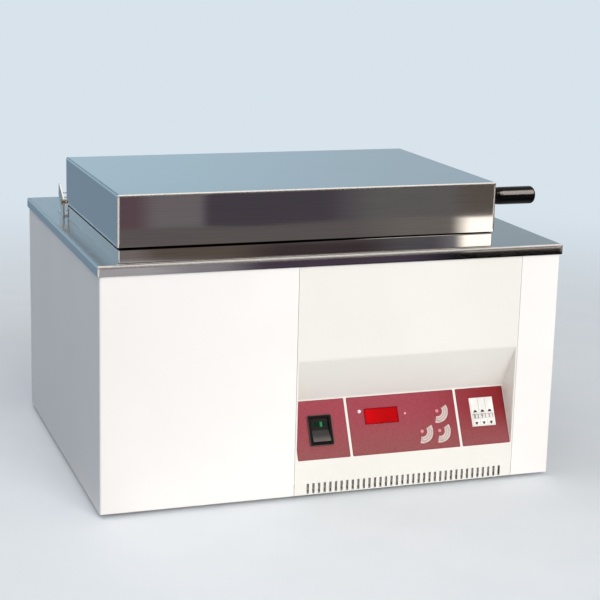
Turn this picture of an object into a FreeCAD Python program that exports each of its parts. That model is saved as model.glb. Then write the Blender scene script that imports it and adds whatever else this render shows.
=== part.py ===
import FreeCAD, Part
import math
import os

Vector = FreeCAD.Vector

# Laboratory water bath. Millimetres, +Z up, front towards -Y.
# The origin is on the bench, under the middle of the cover deck.

# Cover deck
deck_width = 640.0
deck_depth = 506.0
deck_top = 330.0
deck_sheet = 1.5
deck_skirt = 13.5
deck_fold = 2.0
deck_stud_radius = 2.0
deck_stud_length = 10.0
deck_stud_rows = (-160.0, 0.0, 160.0)

# Raised collar and lid outline
lid_width = 512.0
lid_depth = 326.0
lid_from_left = 26.5
lid_from_front = 6.5
collar_height = 18.6
collar_fold = 1.5

# Lid
lid_height = 65.8
lid_sheet = 1.2
lid_seat_gap = 0.3
lid_fold = 2.0
lid_hem = 10.0
lid_overhang = 1.5

# Tank
tank_depth = 180.0
tank_sheet = 1.0
tank_corner = 30.0
tank_base_round = 15.0
tank_rim_inset = 4.0
tank_rim_corner = 10.0
tank_rim_hem = 8.0
tank_side_margin = 26.0
tank_front_margin = 36.0
tank_rear_margin = 26.0
tank_hole_play = 1.0

# Insulation round the tank
insulation_wall = 12.0
insulation_play = 0.3
insulation_below_rim = 5.0
insulation_port = 17.0

# Housing
housing_inset = 2.5
housing_bottom = 6.0
casing_sheet = 1.5
casing_fold = 2.5
casing_flange = 16.0
rear_return = 15.0
seam_flange = 12.0
seam_gap = 0.6
seam_screw_heights = (34.0, 215.0, 300.0)
seam_screw_inset = 7.0

# Rear panel
rear_panel_play = 1.0
rear_vent_count = 10
rear_vent_pitch = 16.0
rear_vent_width = 5.0
rear_vent_length = 40.0
rear_vent_height = 250.0
rear_vent_row_step = 56.0
rear_screw_heights = (30.0, 120.0, 210.0, 300.0)

# Base pan and feet
pan_sheet = 1.5
pan_play = 2.0
pan_rim = 10.0
pan_front_gap = 14.0
pan_vent_count = 9
pan_vent_pitch = 30.0
pan_vent_width = 6.0
pan_vent_length = 60.0
foot_radius = 14.0
foot_inset = 40.0
foot_chamfer = 2.0
base_screw_columns = (-200.0, 0.0, 200.0)
base_screw_inset = 9.6
foot_bore_depth = 5.0
foot_screw_length = 5.25

# Screws
screw_radius = 1.5
screw_hole_play = 0.15
screw_head_radius = 3.2
screw_head_height = 1.6
screw_head_chamfer = 0.8
screw_length = 8.0
nut_radius = 4.0
nut_height = 3.2

# Control fascia
fascia_from_right = 58.9
fascia_width = 317.4
fascia_wall = 2.0
fascia_flange = 12.0
recess_top = 190.5
recess_depth = 36.0
crease_height = 126.0
panel_foot = 53.2
recess_top_round = 9.0
crease_round = 3.0
end_wall_behind_crease = 8.0
vent_count = 36
vent_pitch = 8.0
vent_width = 3.3
vent_low = 7.4
vent_high = 21.4
first_vent_from_seam = 19.2

# Foils on the control panel
foil_sheet = 0.4
foil_height = 79.1
foil_above_foot = 0.7
foil_from_seam = 4.8
foil_gap = 3.8
switch_foil_width = 74.2
display_foil_width = 156.6
limit_foil_width = 71.1
foil_corner = 1.5
cutout_play = 0.2

# Power switch, placed from the fascia's left seam and the foot of the panel
switch_place = (41.0, 39.1)
bezel_width = 34.0
bezel_height = 41.3
bezel_thickness = 2.0
bezel_round = 2.5
switch_opening = (25.2, 33.8)
switch_wall = 2.0
switch_depth = 22.0
switch_cavity_depth = 13.0
rocker_side_play = 0.3
rocker_half_height = 16.0
rocker_rise = 2.2
rocker_dip = -0.6
rocker_pivot_depth = -2.5
rocker_body_half = 8.0
rocker_body_depth = -9.0
rocker_rest_tilt = 8.0
trunnion_radius = 1.5
trunnion_length = 1.4
trunnion_play = 0.06
lens_width = 15.0
lens_from_middle = 4.5
lens_height = 6.5
lens_depth = 1.0
lens_proud = 0.15
terminal_size = (0.8, 6.3, 8.0)
terminal_half_step = 12.6

# Display window and lamps
window_place = (130.4, 52.2)
window_width = 49.0
window_height = 21.8
window_thickness = 0.8
window_round = 1.0
window_lip = 2.0
heating_lamp_place = (99.0, 59.8)
heating_lamp_radius = 2.7
limit_lamp_place = (164.5, 52.3)
limit_lamp_radius = 1.9
lamp_rise = 0.9
lamp_play = 0.15
lamp_foot = 1.0

# Keys
key_places = ((218.2, 46.3), (192.5, 20.3), (218.3, 19.3))
key_radius = 9.7
key_play = 0.3
key_rise = 0.9
key_edge_rise = 0.4
key_rim = 1.4
key_collar = 1.4
key_collar_top = -2.3
key_collar_thickness = 1.0
key_stem_radius = 3.0
key_stem_end = -5.0
key_travel_room = 0.6

# Three-digit pushwheel
wheel_block_place = (279.0, 46.0)
wheel_block_width = 34.9
wheel_block_height = 39.4
wheel_block_rim = 1.5
wheel_block_rise = 1.2
wheel_block_depth = 24.0
wheel_pocket_depth = 20.0
wheel_body_inset = 0.7
wheel_count = 3
wheel_divider = 0.8
wheel_radius = 8.0
wheel_sides = 10
wheel_offset = -6.0
wheel_axle_depth = -8.2
wheel_side_play = 0.6
axle_radius = 1.5
axle_play = 0.05
window_bar = 1.6
window_half = 3.4
bar_thickness = 1.6
button_play = 0.2
button_rise = 0.7
button_cap = 3.0
button_leg_depth = -12.0
button_leg_play = 0.7

# Controller board behind the panel
board_from_seam = 89.0
board_width = 147.0
board_low = 6.0
board_high = 73.0
board_sheet = 1.6
board_depth = -13.0
board_post_radius = 3.0
board_post_inset = 5.0
board_screw_radius = 1.25
board_screw_head_radius = 2.5
board_screw_head_height = 2.4
board_screw_grip = 2.4
board_bore_depth = 4.8
tact_size = 6.0
display_width = 43.0
display_height = 16.4
display_face = -0.6
board_chip = (26.0, 12.0, 5.0)
board_chip_places = ((104.0, 24.0), (136.0, 24.0), (168.0, 20.0))

# Lid hinges
hinge_behind_lid = 14.0
hinge_height = 350.0
hinge_pin_radius = 2.5
hinge_play = 0.05
knuckle_radius = 4.5
knuckle_length = 20.0
leaf_sheet = 2.0
leaf_width = 28.0
leaf_height = 21.0
leaf_from_side = 2.5
cheek_sheet = 2.0
cheek_gap = 0.4
cheek_from_side = 0.6
bracket_foot = 22.0
bracket_front = 4.5
bracket_tip_back = 24.0
bracket_tip_rise = 22.0
bracket_tip_width = 4.0
bracket_root = 10.0
bracket_back = 36.0
stop_angle = 100.0
stop_lug_width = 10.0
stop_lug_start = 25.0
stop_lug_end = 30.5
stop_play = 0.3
pin_head_radius = 4.5
pin_head_height = 1.5
pin_tail_radius = 3.4
pin_end_play = 0.3
rivet_radius = 1.6
rivet_head_radius = 3.2
rivet_head_height = 1.0
rivet_tail_radius = 2.6
rivet_places = ((6.0, 7.7), (22.0, 7.7), (6.0, 15.7), (22.0, 15.7))

# Grip on the right-hand side of the lid
grip_behind_front = 38.0
grip_below_top = 25.0
grip_radius = 11.9
grip_neck_radius = 8.2
grip_neck_length = 24.0
grip_length = 74.0
grip_end_round = 5.0
grip_bore_depth = 30.0
stud_radius = 4.0
stud_play = 0.1
stud_inside = 10.5
washer_radius = 8.0
washer_height = 1.6
grip_nut_radius = 7.5
grip_nut_height = 6.5

# Heater, tray and probes in the tank
heater_radius = 4.25
heater_above_floor = 27.0
heater_from_wall = 45.0
heater_bend = 40.0
heater_outside = 30.0
heater_pin_radius = 2.0
heater_pin_length = 12.0
tray_above_floor = 36.0
tray_sheet = 1.2
tray_fold = 2.2
tray_end_margin = 24.0
tray_side_margin = 17.0
tray_columns = 8
tray_rows = 4
tray_hole_radius = 12.0
tray_pitch_x = 50.0
tray_pitch_y = 52.0
probe_radius = 3.0
probe_above_floor = 27.0
probe_spread = 22.0
probe_reach = 90.0
probe_outside = 26.0
gland_play = 0.05
gland_barrel = 3.5
gland_collar = 7.0
gland_collar_height = 3.0
gland_nut_height = 6.0

# Drain at the rear
drain_from_left = 400.0
drain_from_tank_rear = 28.5
drain_radius = 8.0
drain_bore = 6.0
drain_flange = 2.0
drain_flange_height = 1.5
drain_bend = 22.0
drain_outlet_height = 92.0
drain_proud = 2.4
locknut_radius = 14.0
plug_length = 12.0
plug_play = 0.05
plug_key_radius = 3.0
plug_key_depth = 6.0

# Mains inlet on the rear panel
inlet_from_left = 110.0
inlet_height = 60.0
inlet_width = 50.0
inlet_tall = 23.0
inlet_flange = 2.0
inlet_flange_round = 4.0
inlet_body_width = 28.0
inlet_body_tall = 20.5
inlet_body_depth = 24.0
inlet_mouth_width = 24.0
inlet_mouth_tall = 16.5
inlet_mouth_depth = 16.0
inlet_pin = (4.0, 2.0, 11.0)
inlet_pin_offsets = ((-7.0, -2.0), (0.0, 2.0), (7.0, -2.0))
inlet_screw_spacing = 40.0

# Transformer and heat sink on the base pan
electronics_from_rear = 103.0
transformer_from_right = 170.0
transformer_core = (66.0, 22.0, 55.0)
transformer_coil = (44.0, 44.0, 38.0)
transformer_foot = (84.0, 1.5)
sink_from_left = 130.0
sink_base = (90.0, 70.0, 6.0)
sink_fins = 9
sink_fin_height = 30.0
sink_fin_sheet = 2.0

# Places worked out from the sizes
left = -deck_width / 2
right = deck_width / 2
front = -deck_depth / 2
rear = deck_depth / 2
casing_top = deck_top - deck_sheet
lid_x0 = left + lid_from_left
lid_x1 = lid_x0 + lid_width
lid_y0 = front + lid_from_front
lid_y1 = lid_y0 + lid_depth
collar_x0 = lid_x0 + lid_overhang
collar_x1 = lid_x1 - lid_overhang
collar_y0 = lid_y0 + lid_overhang
collar_y1 = lid_y1 - lid_overhang
collar_top = deck_top + collar_height
tank_x0 = lid_x0 + tank_side_margin
tank_x1 = lid_x1 - tank_side_margin
tank_y0 = lid_y0 + tank_front_margin
tank_y1 = lid_y1 - tank_rear_margin
rim_top = collar_top + 2 * tank_sheet
lid_bottom = rim_top + lid_seat_gap
lid_top = lid_bottom + lid_height
tank_floor = rim_top - tank_depth
house_x0 = left + housing_inset
house_x1 = right - housing_inset
house_y0 = front + housing_inset
house_y1 = rear - housing_inset
fascia_x1 = right - fascia_from_right
fascia_x0 = fascia_x1 - fascia_width
pan_bottom = housing_bottom + casing_sheet
pan_top = pan_bottom + pan_sheet
panel_slope = math.degrees(math.atan2(crease_height - panel_foot, recess_depth))
hinge_y = lid_y1 + hinge_behind_lid
grip_y = lid_y0 + grip_behind_front
grip_z = lid_top - grip_below_top

# How far a cutter passes a face, how near an edge lies to a height, and the reach of a long cutter
past = 1.0
touch = 0.1
far = 1000.0


def box(x0, x1, y0, y1, z0, z1):
    """A block between two corners."""
    return Part.makeBox(x1 - x0, y1 - y0, z1 - z0, Vector(x0, y0, z0))


def upright(direction):
    """Whether a direction runs up or down."""
    return abs(direction.z) > abs(direction.x) + abs(direction.y)


def crosswise(direction):
    """Whether a direction runs from side to side."""
    return abs(direction.x) > abs(direction.y) + abs(direction.z)


def endwise(direction):
    """Whether a direction runs from front to rear."""
    return abs(direction.y) > abs(direction.x) + abs(direction.z)


def round_edges(shape, radius, wanted):
    """Round the straight edges whose direction and middle pass a test."""
    picked = []
    for edge in shape.Edges:
        if edge.Curve.TypeId == "Part::GeomLine":
            along = edge.tangentAt(edge.FirstParameter)
            if wanted(along, edge.CenterOfMass):
                picked.append(edge)
    return shape.makeFillet(radius, picked)


def rounded_block(x0, x1, y0, y1, z0, z1, radius):
    """A block with its four upright edges rounded."""
    block = box(x0, x1, y0, y1, z0, z1)
    return round_edges(block, radius, lambda along, middle: upright(along))


def rod(start, direction, radius, length):
    """A round bar from a point along a direction."""
    return Part.makeCylinder(radius, length, Vector(*start), Vector(*direction))


def hexagon(start, direction, radius, length):
    """A six-sided bar; the radius reaches its corners."""
    points = [Vector(radius * math.cos(math.radians(60 * k)), radius * math.sin(math.radians(60 * k)), 0)
              for k in range(7)]
    bar = Part.Face(Part.makePolygon(points)).extrude(Vector(0, 0, length))
    bar.Placement = FreeCAD.Placement(Vector(*start), FreeCAD.Rotation(Vector(0, 0, 1), Vector(*direction)))
    return bar


def side_plate(points, x0, x1):
    """A plate with its outline given as (y, z) points, from x0 to x1."""
    corners = [Vector(x0, y, z) for y, z in points]
    face = Part.Face(Part.makePolygon(corners + corners[:1]))
    return face.extrude(Vector(x1 - x0, 0, 0))


def turned(points, start, direction):
    """A turned piece: (radius, height) points round an axis from a point."""
    corners = [Vector(radius, 0, height) for radius, height in points]
    face = Part.Face(Part.makePolygon(corners + corners[:1]))
    piece = face.revolve(Vector(0, 0, 0), Vector(0, 0, 1), 360)
    piece.Placement = FreeCAD.Placement(Vector(*start), FreeCAD.Rotation(Vector(0, 0, 1), Vector(*direction)))
    return piece


def screw(seat, direction, length):
    """A pan-head screw whose head sits on the seat and whose shank runs along the direction."""
    shank = rod(seat, direction, screw_radius, length)
    under = [-part for part in direction]
    head = rod(seat, under, screw_head_radius, screw_head_height)
    top = Vector(*seat) + Vector(*under) * screw_head_height
    rim = [edge for edge in head.Edges
           if edge.Curve.TypeId == "Part::GeomCircle" and (edge.Curve.Center - top).Length < touch]
    head = head.makeChamfer(screw_head_chamfer, rim)
    return head.fuse(shank)


def screw_hole(start, direction, length):
    """The clearance hole of a screw."""
    return rod(start, direction, screw_radius + screw_hole_play, length)


def on_panel(shape):
    """Carry a shape from the panel's own frame (x, up the slope, outwards) to its place."""
    placed = shape.copy()
    placed.rotate(Vector(0, 0, 0), Vector(1, 0, 0), panel_slope)
    placed.translate(Vector(0, house_y0, panel_foot))
    return placed


def panel_x(from_seam):
    """The x of a panel feature measured from the fascia's left seam."""
    return fascia_x0 + from_seam


def panel_block(place, width, height, z0, z1, radius=0.0):
    """A block on the panel, centred on a place, with its corners rounded if asked."""
    middle_x = panel_x(place[0])
    sides = (middle_x - width / 2, middle_x + width / 2, place[1] - height / 2, place[1] + height / 2)
    if radius:
        return rounded_block(*sides, z0, z1, radius)
    return box(*sides, z0, z1)


def panel_rod(place, radius, z0, z1):
    """A round bar standing on the panel."""
    return rod((panel_x(place[0]), place[1], z0), (0, 0, 1), radius, z1 - z0)


def deck_stud_places():
    """The middle of each stud under the deck."""
    inset = casing_flange / 2
    return [(x, y) for x in (house_x0 + inset, house_x1 - inset) for y in deck_stud_rows]


def make_deck():
    """Cover deck: folded skirt all round, raised collar with the tank's opening, weld studs."""
    plate = box(left, right, front, rear, deck_top - deck_skirt, deck_top)
    plate = round_edges(plate, deck_fold, lambda along, middle: middle.z > deck_top - touch or upright(along))
    collar = box(collar_x0, collar_x1, collar_y0, collar_y1, casing_top, collar_top)
    collar = round_edges(collar, collar_fold,
                         lambda along, middle: middle.z > collar_top - touch or upright(along))
    under = box(left + deck_sheet, right - deck_sheet, front + deck_sheet, rear - deck_sheet, 0, casing_top)
    inside = box(collar_x0 + deck_sheet, collar_x1 - deck_sheet, collar_y0 + deck_sheet,
                 collar_y1 - deck_sheet, 0, collar_top - deck_sheet)
    wall = tank_sheet + tank_hole_play
    opening = rounded_block(tank_x0 - wall, tank_x1 + wall, tank_y0 - wall, tank_y1 + wall,
                            0, far, tank_corner + wall)
    deck = plate.fuse(collar).cut(under).cut(inside).cut(opening)
    for x, y in deck_stud_places():
        deck = deck.fuse(rod((x, y, casing_top), (0, 0, -1), deck_stud_radius, deck_stud_length))
    for side in (0, 1):
        for x, y in bracket_screw_places(side):
            deck = deck.cut(screw_hole((x, y, 0), (0, 0, 1), far))
    return deck.removeSplitter()


def make_deck_nuts():
    """Nuts that hold the deck's studs under the casing flanges."""
    nuts = []
    for x, y in deck_stud_places():
        seat = (x, y, casing_top - casing_sheet)
        nut = hexagon(seat, (0, 0, -1), nut_radius, nut_height)
        nuts.append(nut.cut(rod(seat, (0, 0, -1), deck_stud_radius + gland_play, nut_height)))
    return Part.makeCompound(nuts)


def rim_block(inset, z0, z1):
    """A block with the outline of the tank's rim, drawn in by an inset."""
    edge = tank_rim_inset + inset
    return rounded_block(collar_x0 + edge, collar_x1 - edge, collar_y0 + edge, collar_y1 - edge,
                         z0, z1, tank_rim_corner - inset)


def make_tank():
    """Deep-drawn tank that hangs on the collar by a wide rim, whose edge is folded under."""
    outer = rounded_block(tank_x0 - tank_sheet, tank_x1 + tank_sheet, tank_y0 - tank_sheet,
                          tank_y1 + tank_sheet, tank_floor - tank_sheet, rim_top, tank_corner + tank_sheet)
    inner = rounded_block(tank_x0, tank_x1, tank_y0, tank_y1, tank_floor, rim_top + tank_sheet, tank_corner)
    outer = round_floor(outer, tank_floor - tank_sheet, tank_base_round + tank_sheet)
    inner = round_floor(inner, tank_floor, tank_base_round)
    hem = rim_block(0, collar_top, rim_top).cut(rim_block(tank_rim_hem, 0, far))
    rim = rim_block(0, rim_top - tank_sheet, rim_top).fuse(hem)
    tank = outer.fuse(rim).cut(inner)
    for start, radius in tank_ports():
        tank = tank.cut(rod(start, (1, 0, 0), radius + gland_barrel + gland_play, heater_outside))
    drain_x, drain_y = drain_place()
    tank = tank.cut(rod((drain_x, drain_y, tank_floor - drain_bend), (0, 0, 1),
                        drain_radius + gland_play, 2 * drain_bend))
    return tank.removeSplitter()


def round_floor(shape, height, radius):
    """Round every edge that lies at one height."""
    picked = [edge for edge in shape.Edges if edge.BoundBox.ZMax < height + touch]
    return shape.makeFillet(radius, picked)


def heater_leg_rows():
    """The y of the heater's two legs."""
    return (tank_y0 + heater_from_wall, tank_y1 - heater_from_wall)


def probe_rows():
    """The y of the two probes."""
    middle = (tank_y0 + tank_y1) / 2
    return (middle - probe_spread, middle + probe_spread)


def tank_ports():
    """Where tubes pass the tank's right wall: a point inside it, and the tube's radius."""
    inside = tank_x1 - heater_outside / 2
    ports = [((inside, y, tank_floor + heater_above_floor), heater_radius) for y in heater_leg_rows()]
    ports += [((inside, y, tank_floor + probe_above_floor), probe_radius) for y in probe_rows()]
    return ports


def make_insulation():
    """Insulating jacket round the tank's walls and floor, with ports for the tubes and the drain."""
    near = tank_sheet + insulation_play
    thick = near + insulation_wall
    top = rim_top - insulation_below_rim
    outer = rounded_block(tank_x0 - thick, tank_x1 + thick, tank_y0 - thick, tank_y1 + thick,
                          tank_floor - thick, top, tank_corner + thick)
    inner = rounded_block(tank_x0 - near, tank_x1 + near, tank_y0 - near, tank_y1 + near,
                          tank_floor - near, far, tank_corner + near)
    outer = round_floor(outer, tank_floor - thick, tank_base_round)
    jacket = outer.cut(inner)
    for start, radius in tank_ports():
        jacket = jacket.cut(rod(start, (1, 0, 0), insulation_port, 2 * heater_outside))
    drain_x, drain_y = drain_place()
    return jacket.cut(rod((drain_x, drain_y, 0), (0, 0, 1), insulation_port, tank_floor))


def casing(side):
    """One folded casing: a side wall, its share of the front, a rear return, and flanges."""
    seam = fascia_x0 - seam_gap / 2 if side < 0 else -(fascia_x1 + seam_gap / 2)
    outer = box(house_x0, seam, house_y0, house_y1, housing_bottom, casing_top)
    outer = round_edges(outer, casing_fold,
                        lambda along, middle: upright(along) and middle.x < house_x0 + touch)
    inner = box(house_x0 + casing_sheet, far, house_y0 + casing_sheet, house_y1 - casing_sheet,
                housing_bottom + casing_sheet, casing_top - casing_sheet)
    inner = round_edges(inner, casing_fold - casing_sheet,
                        lambda along, middle: upright(along) and middle.x < house_x0 + casing_fold)
    shell = outer.cut(inner)
    shell = shell.cut(box(house_x0 + casing_flange, far,
                          house_y0 + casing_flange, house_y1 - casing_flange, 0, far))
    shell = shell.cut(box(house_x0 + rear_return, far, house_y1 - casing_flange, far, 0, far))
    lip = box(seam - casing_sheet, seam, house_y0, house_y0 + seam_flange, housing_bottom, casing_top)
    shell = shell.fuse(lip)
    for z in seam_screw_heights:
        shell = shell.cut(screw_hole((seam - seam_flange, house_y0 + seam_screw_inset, z), (1, 0, 0), far))
    for z in rear_screw_heights:
        shell = shell.cut(screw_hole((house_x0 + rear_return / 2, 0, z), (0, 1, 0), far))
    for x, y in deck_stud_places()[:len(deck_stud_rows)]:
        shell = shell.cut(rod((x, y, casing_top / 2), (0, 0, 1), deck_stud_radius + gland_play, casing_top))
    for y in base_screw_columns:
        shell = shell.cut(screw_hole((base_screw_x(), y, 0), (0, 0, 1), casing_top / 2))
    shell = shell.removeSplitter()
    if side > 0:
        shell = shell.mirror(Vector(0, 0, 0), Vector(1, 0, 0))
    return shell


def base_screw_x():
    """The x of the left row of screws that hold the base pan to the casing flanges."""
    return house_x0 + base_screw_inset


def make_rear_panel():
    """Flat rear panel behind the casings' returns, with vents, inlet cut-out and drain hole."""
    face = house_y1 - casing_sheet
    x0 = house_x0 + casing_sheet + rear_panel_play
    panel = box(x0, -x0, face - casing_sheet, face, pan_bottom, casing_top - casing_sheet)
    for row in (0, 1):
        for k in range(rear_vent_count):
            x = (k - (rear_vent_count - 1) / 2) * rear_vent_pitch
            z = rear_vent_height - row * rear_vent_row_step
            panel = panel.cut(box(x - rear_vent_width / 2, x + rear_vent_width / 2,
                                  face - rear_return, face + past,
                                  z - rear_vent_length / 2, z + rear_vent_length / 2))
    for side in (-1, 1):
        for z in rear_screw_heights:
            x = side * (house_x0 + rear_return / 2)
            panel = panel.cut(screw_hole((x, 0, z), (0, 1, 0), far))
        x = left + inlet_from_left + side * inlet_screw_spacing / 2
        panel = panel.cut(screw_hole((x, 0, inlet_height), (0, 1, 0), far))
    middle = left + inlet_from_left
    wide = inlet_body_width / 2 + cutout_play
    tall = inlet_body_tall / 2 + cutout_play
    panel = panel.cut(box(middle - wide, middle + wide, 0, far, inlet_height - tall, inlet_height + tall))
    drain_x, drain_y = drain_place()
    return panel.cut(rod((drain_x, 0, drain_outlet_height), (0, 1, 0), drain_radius + cutout_play, far))


def make_casing_screws():
    """Screws through the casings' returns and bottom flanges, and through the mains inlet's flange."""
    screws = []
    for side in (-1, 1):
        for z in rear_screw_heights:
            x = side * (house_x0 + rear_return / 2)
            screws.append(screw((x, house_y1, z), (0, -1, 0), screw_length))
        for y in base_screw_columns:
            screws.append(screw((side * base_screw_x(), y, housing_bottom), (0, 0, 1), screw_length))
        x = left + inlet_from_left + side * inlet_screw_spacing / 2
        seat = house_y1 - casing_sheet + inlet_flange
        screws.append(screw((x, seat, inlet_height), (0, -1, 0), screw_length))
    return Part.makeCompound(screws)


def foot_places():
    """The middle of each foot."""
    x = right - foot_inset
    y = rear - foot_inset
    return [(-x, -y), (x, -y), (-x, y), (x, y)]


def make_base_pan():
    """Base pan on the casings' bottom flanges, with an upturned rim and cooling slots."""
    x0 = house_x0 + casing_sheet + pan_play
    y0 = house_y0 + pan_front_gap
    y1 = house_y1 - 2 * casing_sheet - pan_play
    pan = box(x0, -x0, y0, y1, pan_bottom, pan_top + pan_rim)
    pan = pan.cut(box(x0 + pan_sheet, -x0 - pan_sheet, y0 + pan_sheet, y1 - pan_sheet, pan_top, far))
    for k in range(pan_vent_count):
        x = (k - (pan_vent_count - 1) / 2) * pan_vent_pitch
        pan = pan.cut(box(x - pan_vent_width / 2, x + pan_vent_width / 2,
                          -pan_vent_length / 2, pan_vent_length / 2, 0, pan_top))
    for x, y in foot_places():
        pan = pan.cut(screw_hole((x, y, 0), (0, 0, 1), far))
    for x in (base_screw_x(), -base_screw_x()):
        for y in base_screw_columns:
            pan = pan.cut(screw_hole((x, y, 0), (0, 0, 1), pan_top + past))
    return pan


def make_feet():
    """Four rubber feet with a chamfered sole and a blind screw hole."""
    feet = []
    for x, y in foot_places():
        foot = turned([(0, 0), (foot_radius - foot_chamfer, 0), (foot_radius, foot_chamfer),
                       (foot_radius, pan_bottom), (0, pan_bottom)], (x, y, 0), (0, 0, 1))
        feet.append(foot.cut(screw_hole((x, y, pan_bottom - foot_bore_depth), (0, 0, 1), pan_bottom)))
    return Part.makeCompound(feet)


def make_foot_screws():
    """Screws that hold the feet from inside the pan."""
    seats = [(x, y, pan_top) for x, y in foot_places()]
    return Part.makeCompound([screw(seat, (0, 0, -1), foot_screw_length) for seat in seats])


def front_block(offset):
    """The fascia's front outline, moved inwards by an offset, as a thick block behind it."""
    slope = math.radians(panel_slope)
    band = math.atan2(recess_top - crease_height, recess_depth)
    face = house_y0 + offset
    top_z = recess_top + offset * math.tan((math.pi / 2 - band) / 2)
    foot_z = panel_foot - offset * math.tan((math.pi / 2 - slope) / 2)
    run = math.tan(slope) + math.tan(band)
    crease_y = face + (top_z - foot_z) / run
    crease_z = foot_z + (crease_y - face) * math.tan(slope)
    behind = house_y0 + 2 * recess_depth
    high = casing_top if offset == 0 else far
    low = housing_bottom if offset == 0 else -far
    block = side_plate([(face, high), (face, top_z), (crease_y, crease_z), (face, foot_z), (face, low),
                        (behind, low), (behind, high)], fascia_x0 - offset * far, fascia_x1 + offset * far)
    block = round_edges(block, recess_top_round - offset,
                        lambda along, middle: crosswise(along) and abs(middle.z - top_z) < touch
                        and middle.y < face + touch)
    return round_edges(block, crease_round + offset,
                       lambda along, middle: crosswise(along) and abs(middle.z - crease_z) < touch
                       and abs(middle.y - crease_y) < touch)


def make_fascia():
    """Control fascia: one moulding with hand recess, slanted panel, end walls, flanges and vents."""
    x0 = fascia_x0 + seam_gap / 2
    x1 = fascia_x1 - seam_gap / 2
    skin = front_block(0).cut(front_block(fascia_wall))
    skin = skin.common(box(x0, x1, -far, far, housing_bottom, casing_top))
    back = house_y0 + fascia_flange
    behind = house_y0 + recess_depth + end_wall_behind_crease
    outline = [(house_y0, housing_bottom), (back, housing_bottom), (back, panel_foot),
               (behind, crease_height - fascia_flange), (behind, crease_height + fascia_flange),
               (back, recess_top), (back, casing_top), (house_y0, casing_top)]
    body = skin
    for end in (x0, x1 - fascia_wall):
        body = body.fuse(side_plate(outline, end, end + fascia_wall))
    body = body.fuse(box(x0, x1, house_y0, back, casing_top - fascia_wall, casing_top))
    body = body.fuse(box(x0, x1, house_y0, back, housing_bottom, housing_bottom + fascia_wall))
    for k in range(vent_count):
        x = fascia_x0 + first_vent_from_seam + k * vent_pitch
        slot = box(x - vent_width / 2, x + vent_width / 2, house_y0 - past, house_y0 + fascia_wall + past,
                   vent_low, vent_high)
        body = body.cut(slot)
    for cut in panel_cuts():
        body = body.cut(on_panel(cut))
    for x, y in board_posts():
        post = rod((x, y, -fascia_wall), (0, 0, -1), board_post_radius, -board_depth - fascia_wall)
        bore = rod((x, y, board_depth), (0, 0, 1), board_screw_radius + gland_play, board_bore_depth)
        body = body.fuse(on_panel(post)).cut(on_panel(bore))
    for z in seam_screw_heights:
        body = body.cut(screw_hole((-far, house_y0 + seam_screw_inset, z), (1, 0, 0), 2 * far))
    return body.removeSplitter()


def panel_cuts():
    """Cut-outs of the slanted panel, in the panel's frame."""
    deep = -2 * fascia_wall
    cuts = [panel_block(switch_place, switch_opening[0] + 2 * (switch_wall + cutout_play),
                        switch_opening[1] + 2 * (switch_wall + cutout_play), deep, past)]
    cuts.append(panel_block(window_place, window_width - 2 * window_lip, window_height - 2 * window_lip,
                            deep, past))
    cuts.append(panel_rod(heating_lamp_place, heating_lamp_radius + lamp_play, deep, past))
    cuts.append(panel_rod(limit_lamp_place, limit_lamp_radius + lamp_play, deep, past))
    for place in key_places:
        cuts.append(panel_rod(place, key_radius + key_play, deep, past))
    cuts.append(panel_block(wheel_block_place, wheel_block_width - 2 * (wheel_body_inset - cutout_play),
                            wheel_block_height - 2 * (wheel_body_inset - cutout_play), deep, past))
    return cuts


def make_foil(from_seam, width, cuts):
    """One printed foil with rounded corners and its cut-outs."""
    place = (from_seam + width / 2, foil_above_foot + foil_height / 2)
    foil = panel_block(place, width, foil_height, 0, foil_sheet, foil_corner)
    for cut in cuts:
        foil = foil.cut(cut)
    return on_panel(foil)


def make_switch_foil():
    """Foil round the power switch."""
    cut = panel_block(switch_place, switch_opening[0] + 2 * (switch_wall + cutout_play),
                      switch_opening[1] + 2 * (switch_wall + cutout_play), -past, past)
    return make_foil(foil_from_seam, switch_foil_width, [cut])


def make_display_foil():
    """Foil round the display window, the lamps and the keys."""
    cuts = [panel_block(window_place, window_width + cutout_play, window_height + cutout_play,
                        -past, past, window_round),
            panel_rod(heating_lamp_place, heating_lamp_radius + lamp_play, -past, past),
            panel_rod(limit_lamp_place, limit_lamp_radius + lamp_play, -past, past)]
    for place in key_places:
        cuts.append(panel_rod(place, key_radius + key_play, -past, past))
    return make_foil(foil_from_seam + switch_foil_width + foil_gap, display_foil_width, cuts)


def make_limit_foil():
    """Foil round the pushwheel."""
    cut = panel_block(wheel_block_place, wheel_block_width - 2 * (wheel_body_inset - cutout_play),
                      wheel_block_height - 2 * (wheel_body_inset - cutout_play), -past, past)
    start = foil_from_seam + switch_foil_width + display_foil_width + 2 * foil_gap
    return make_foil(start, limit_foil_width, [cut])


def make_switch_frame():
    """Power switch frame: bezel, hollow body with trunnion holes, and terminals."""
    bezel = panel_block(switch_place, bezel_width, bezel_height,
                        foil_sheet, foil_sheet + bezel_thickness, bezel_round)
    body = panel_block(switch_place, switch_opening[0] + 2 * switch_wall, switch_opening[1] + 2 * switch_wall,
                       -switch_depth, foil_sheet)
    hollow = panel_block(switch_place, switch_opening[0], switch_opening[1],
                         -switch_cavity_depth, foil_sheet + bezel_thickness + past)
    frame = bezel.fuse(body).cut(hollow)
    reach = switch_opening[0] / 2 + trunnion_length + cutout_play
    frame = frame.cut(rod((panel_x(switch_place[0]) - reach, switch_place[1], rocker_pivot_depth), (1, 0, 0),
                          trunnion_radius + trunnion_play, 2 * reach))
    thick, wide, long = terminal_size
    for side in (-1, 1):
        for step in (-1, 1):
            place = (switch_place[0] + side * wide, switch_place[1] + step * terminal_half_step)
            frame = frame.fuse(panel_block(place, thick, wide, -switch_depth - long, -switch_depth))
    return on_panel(frame)


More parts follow.
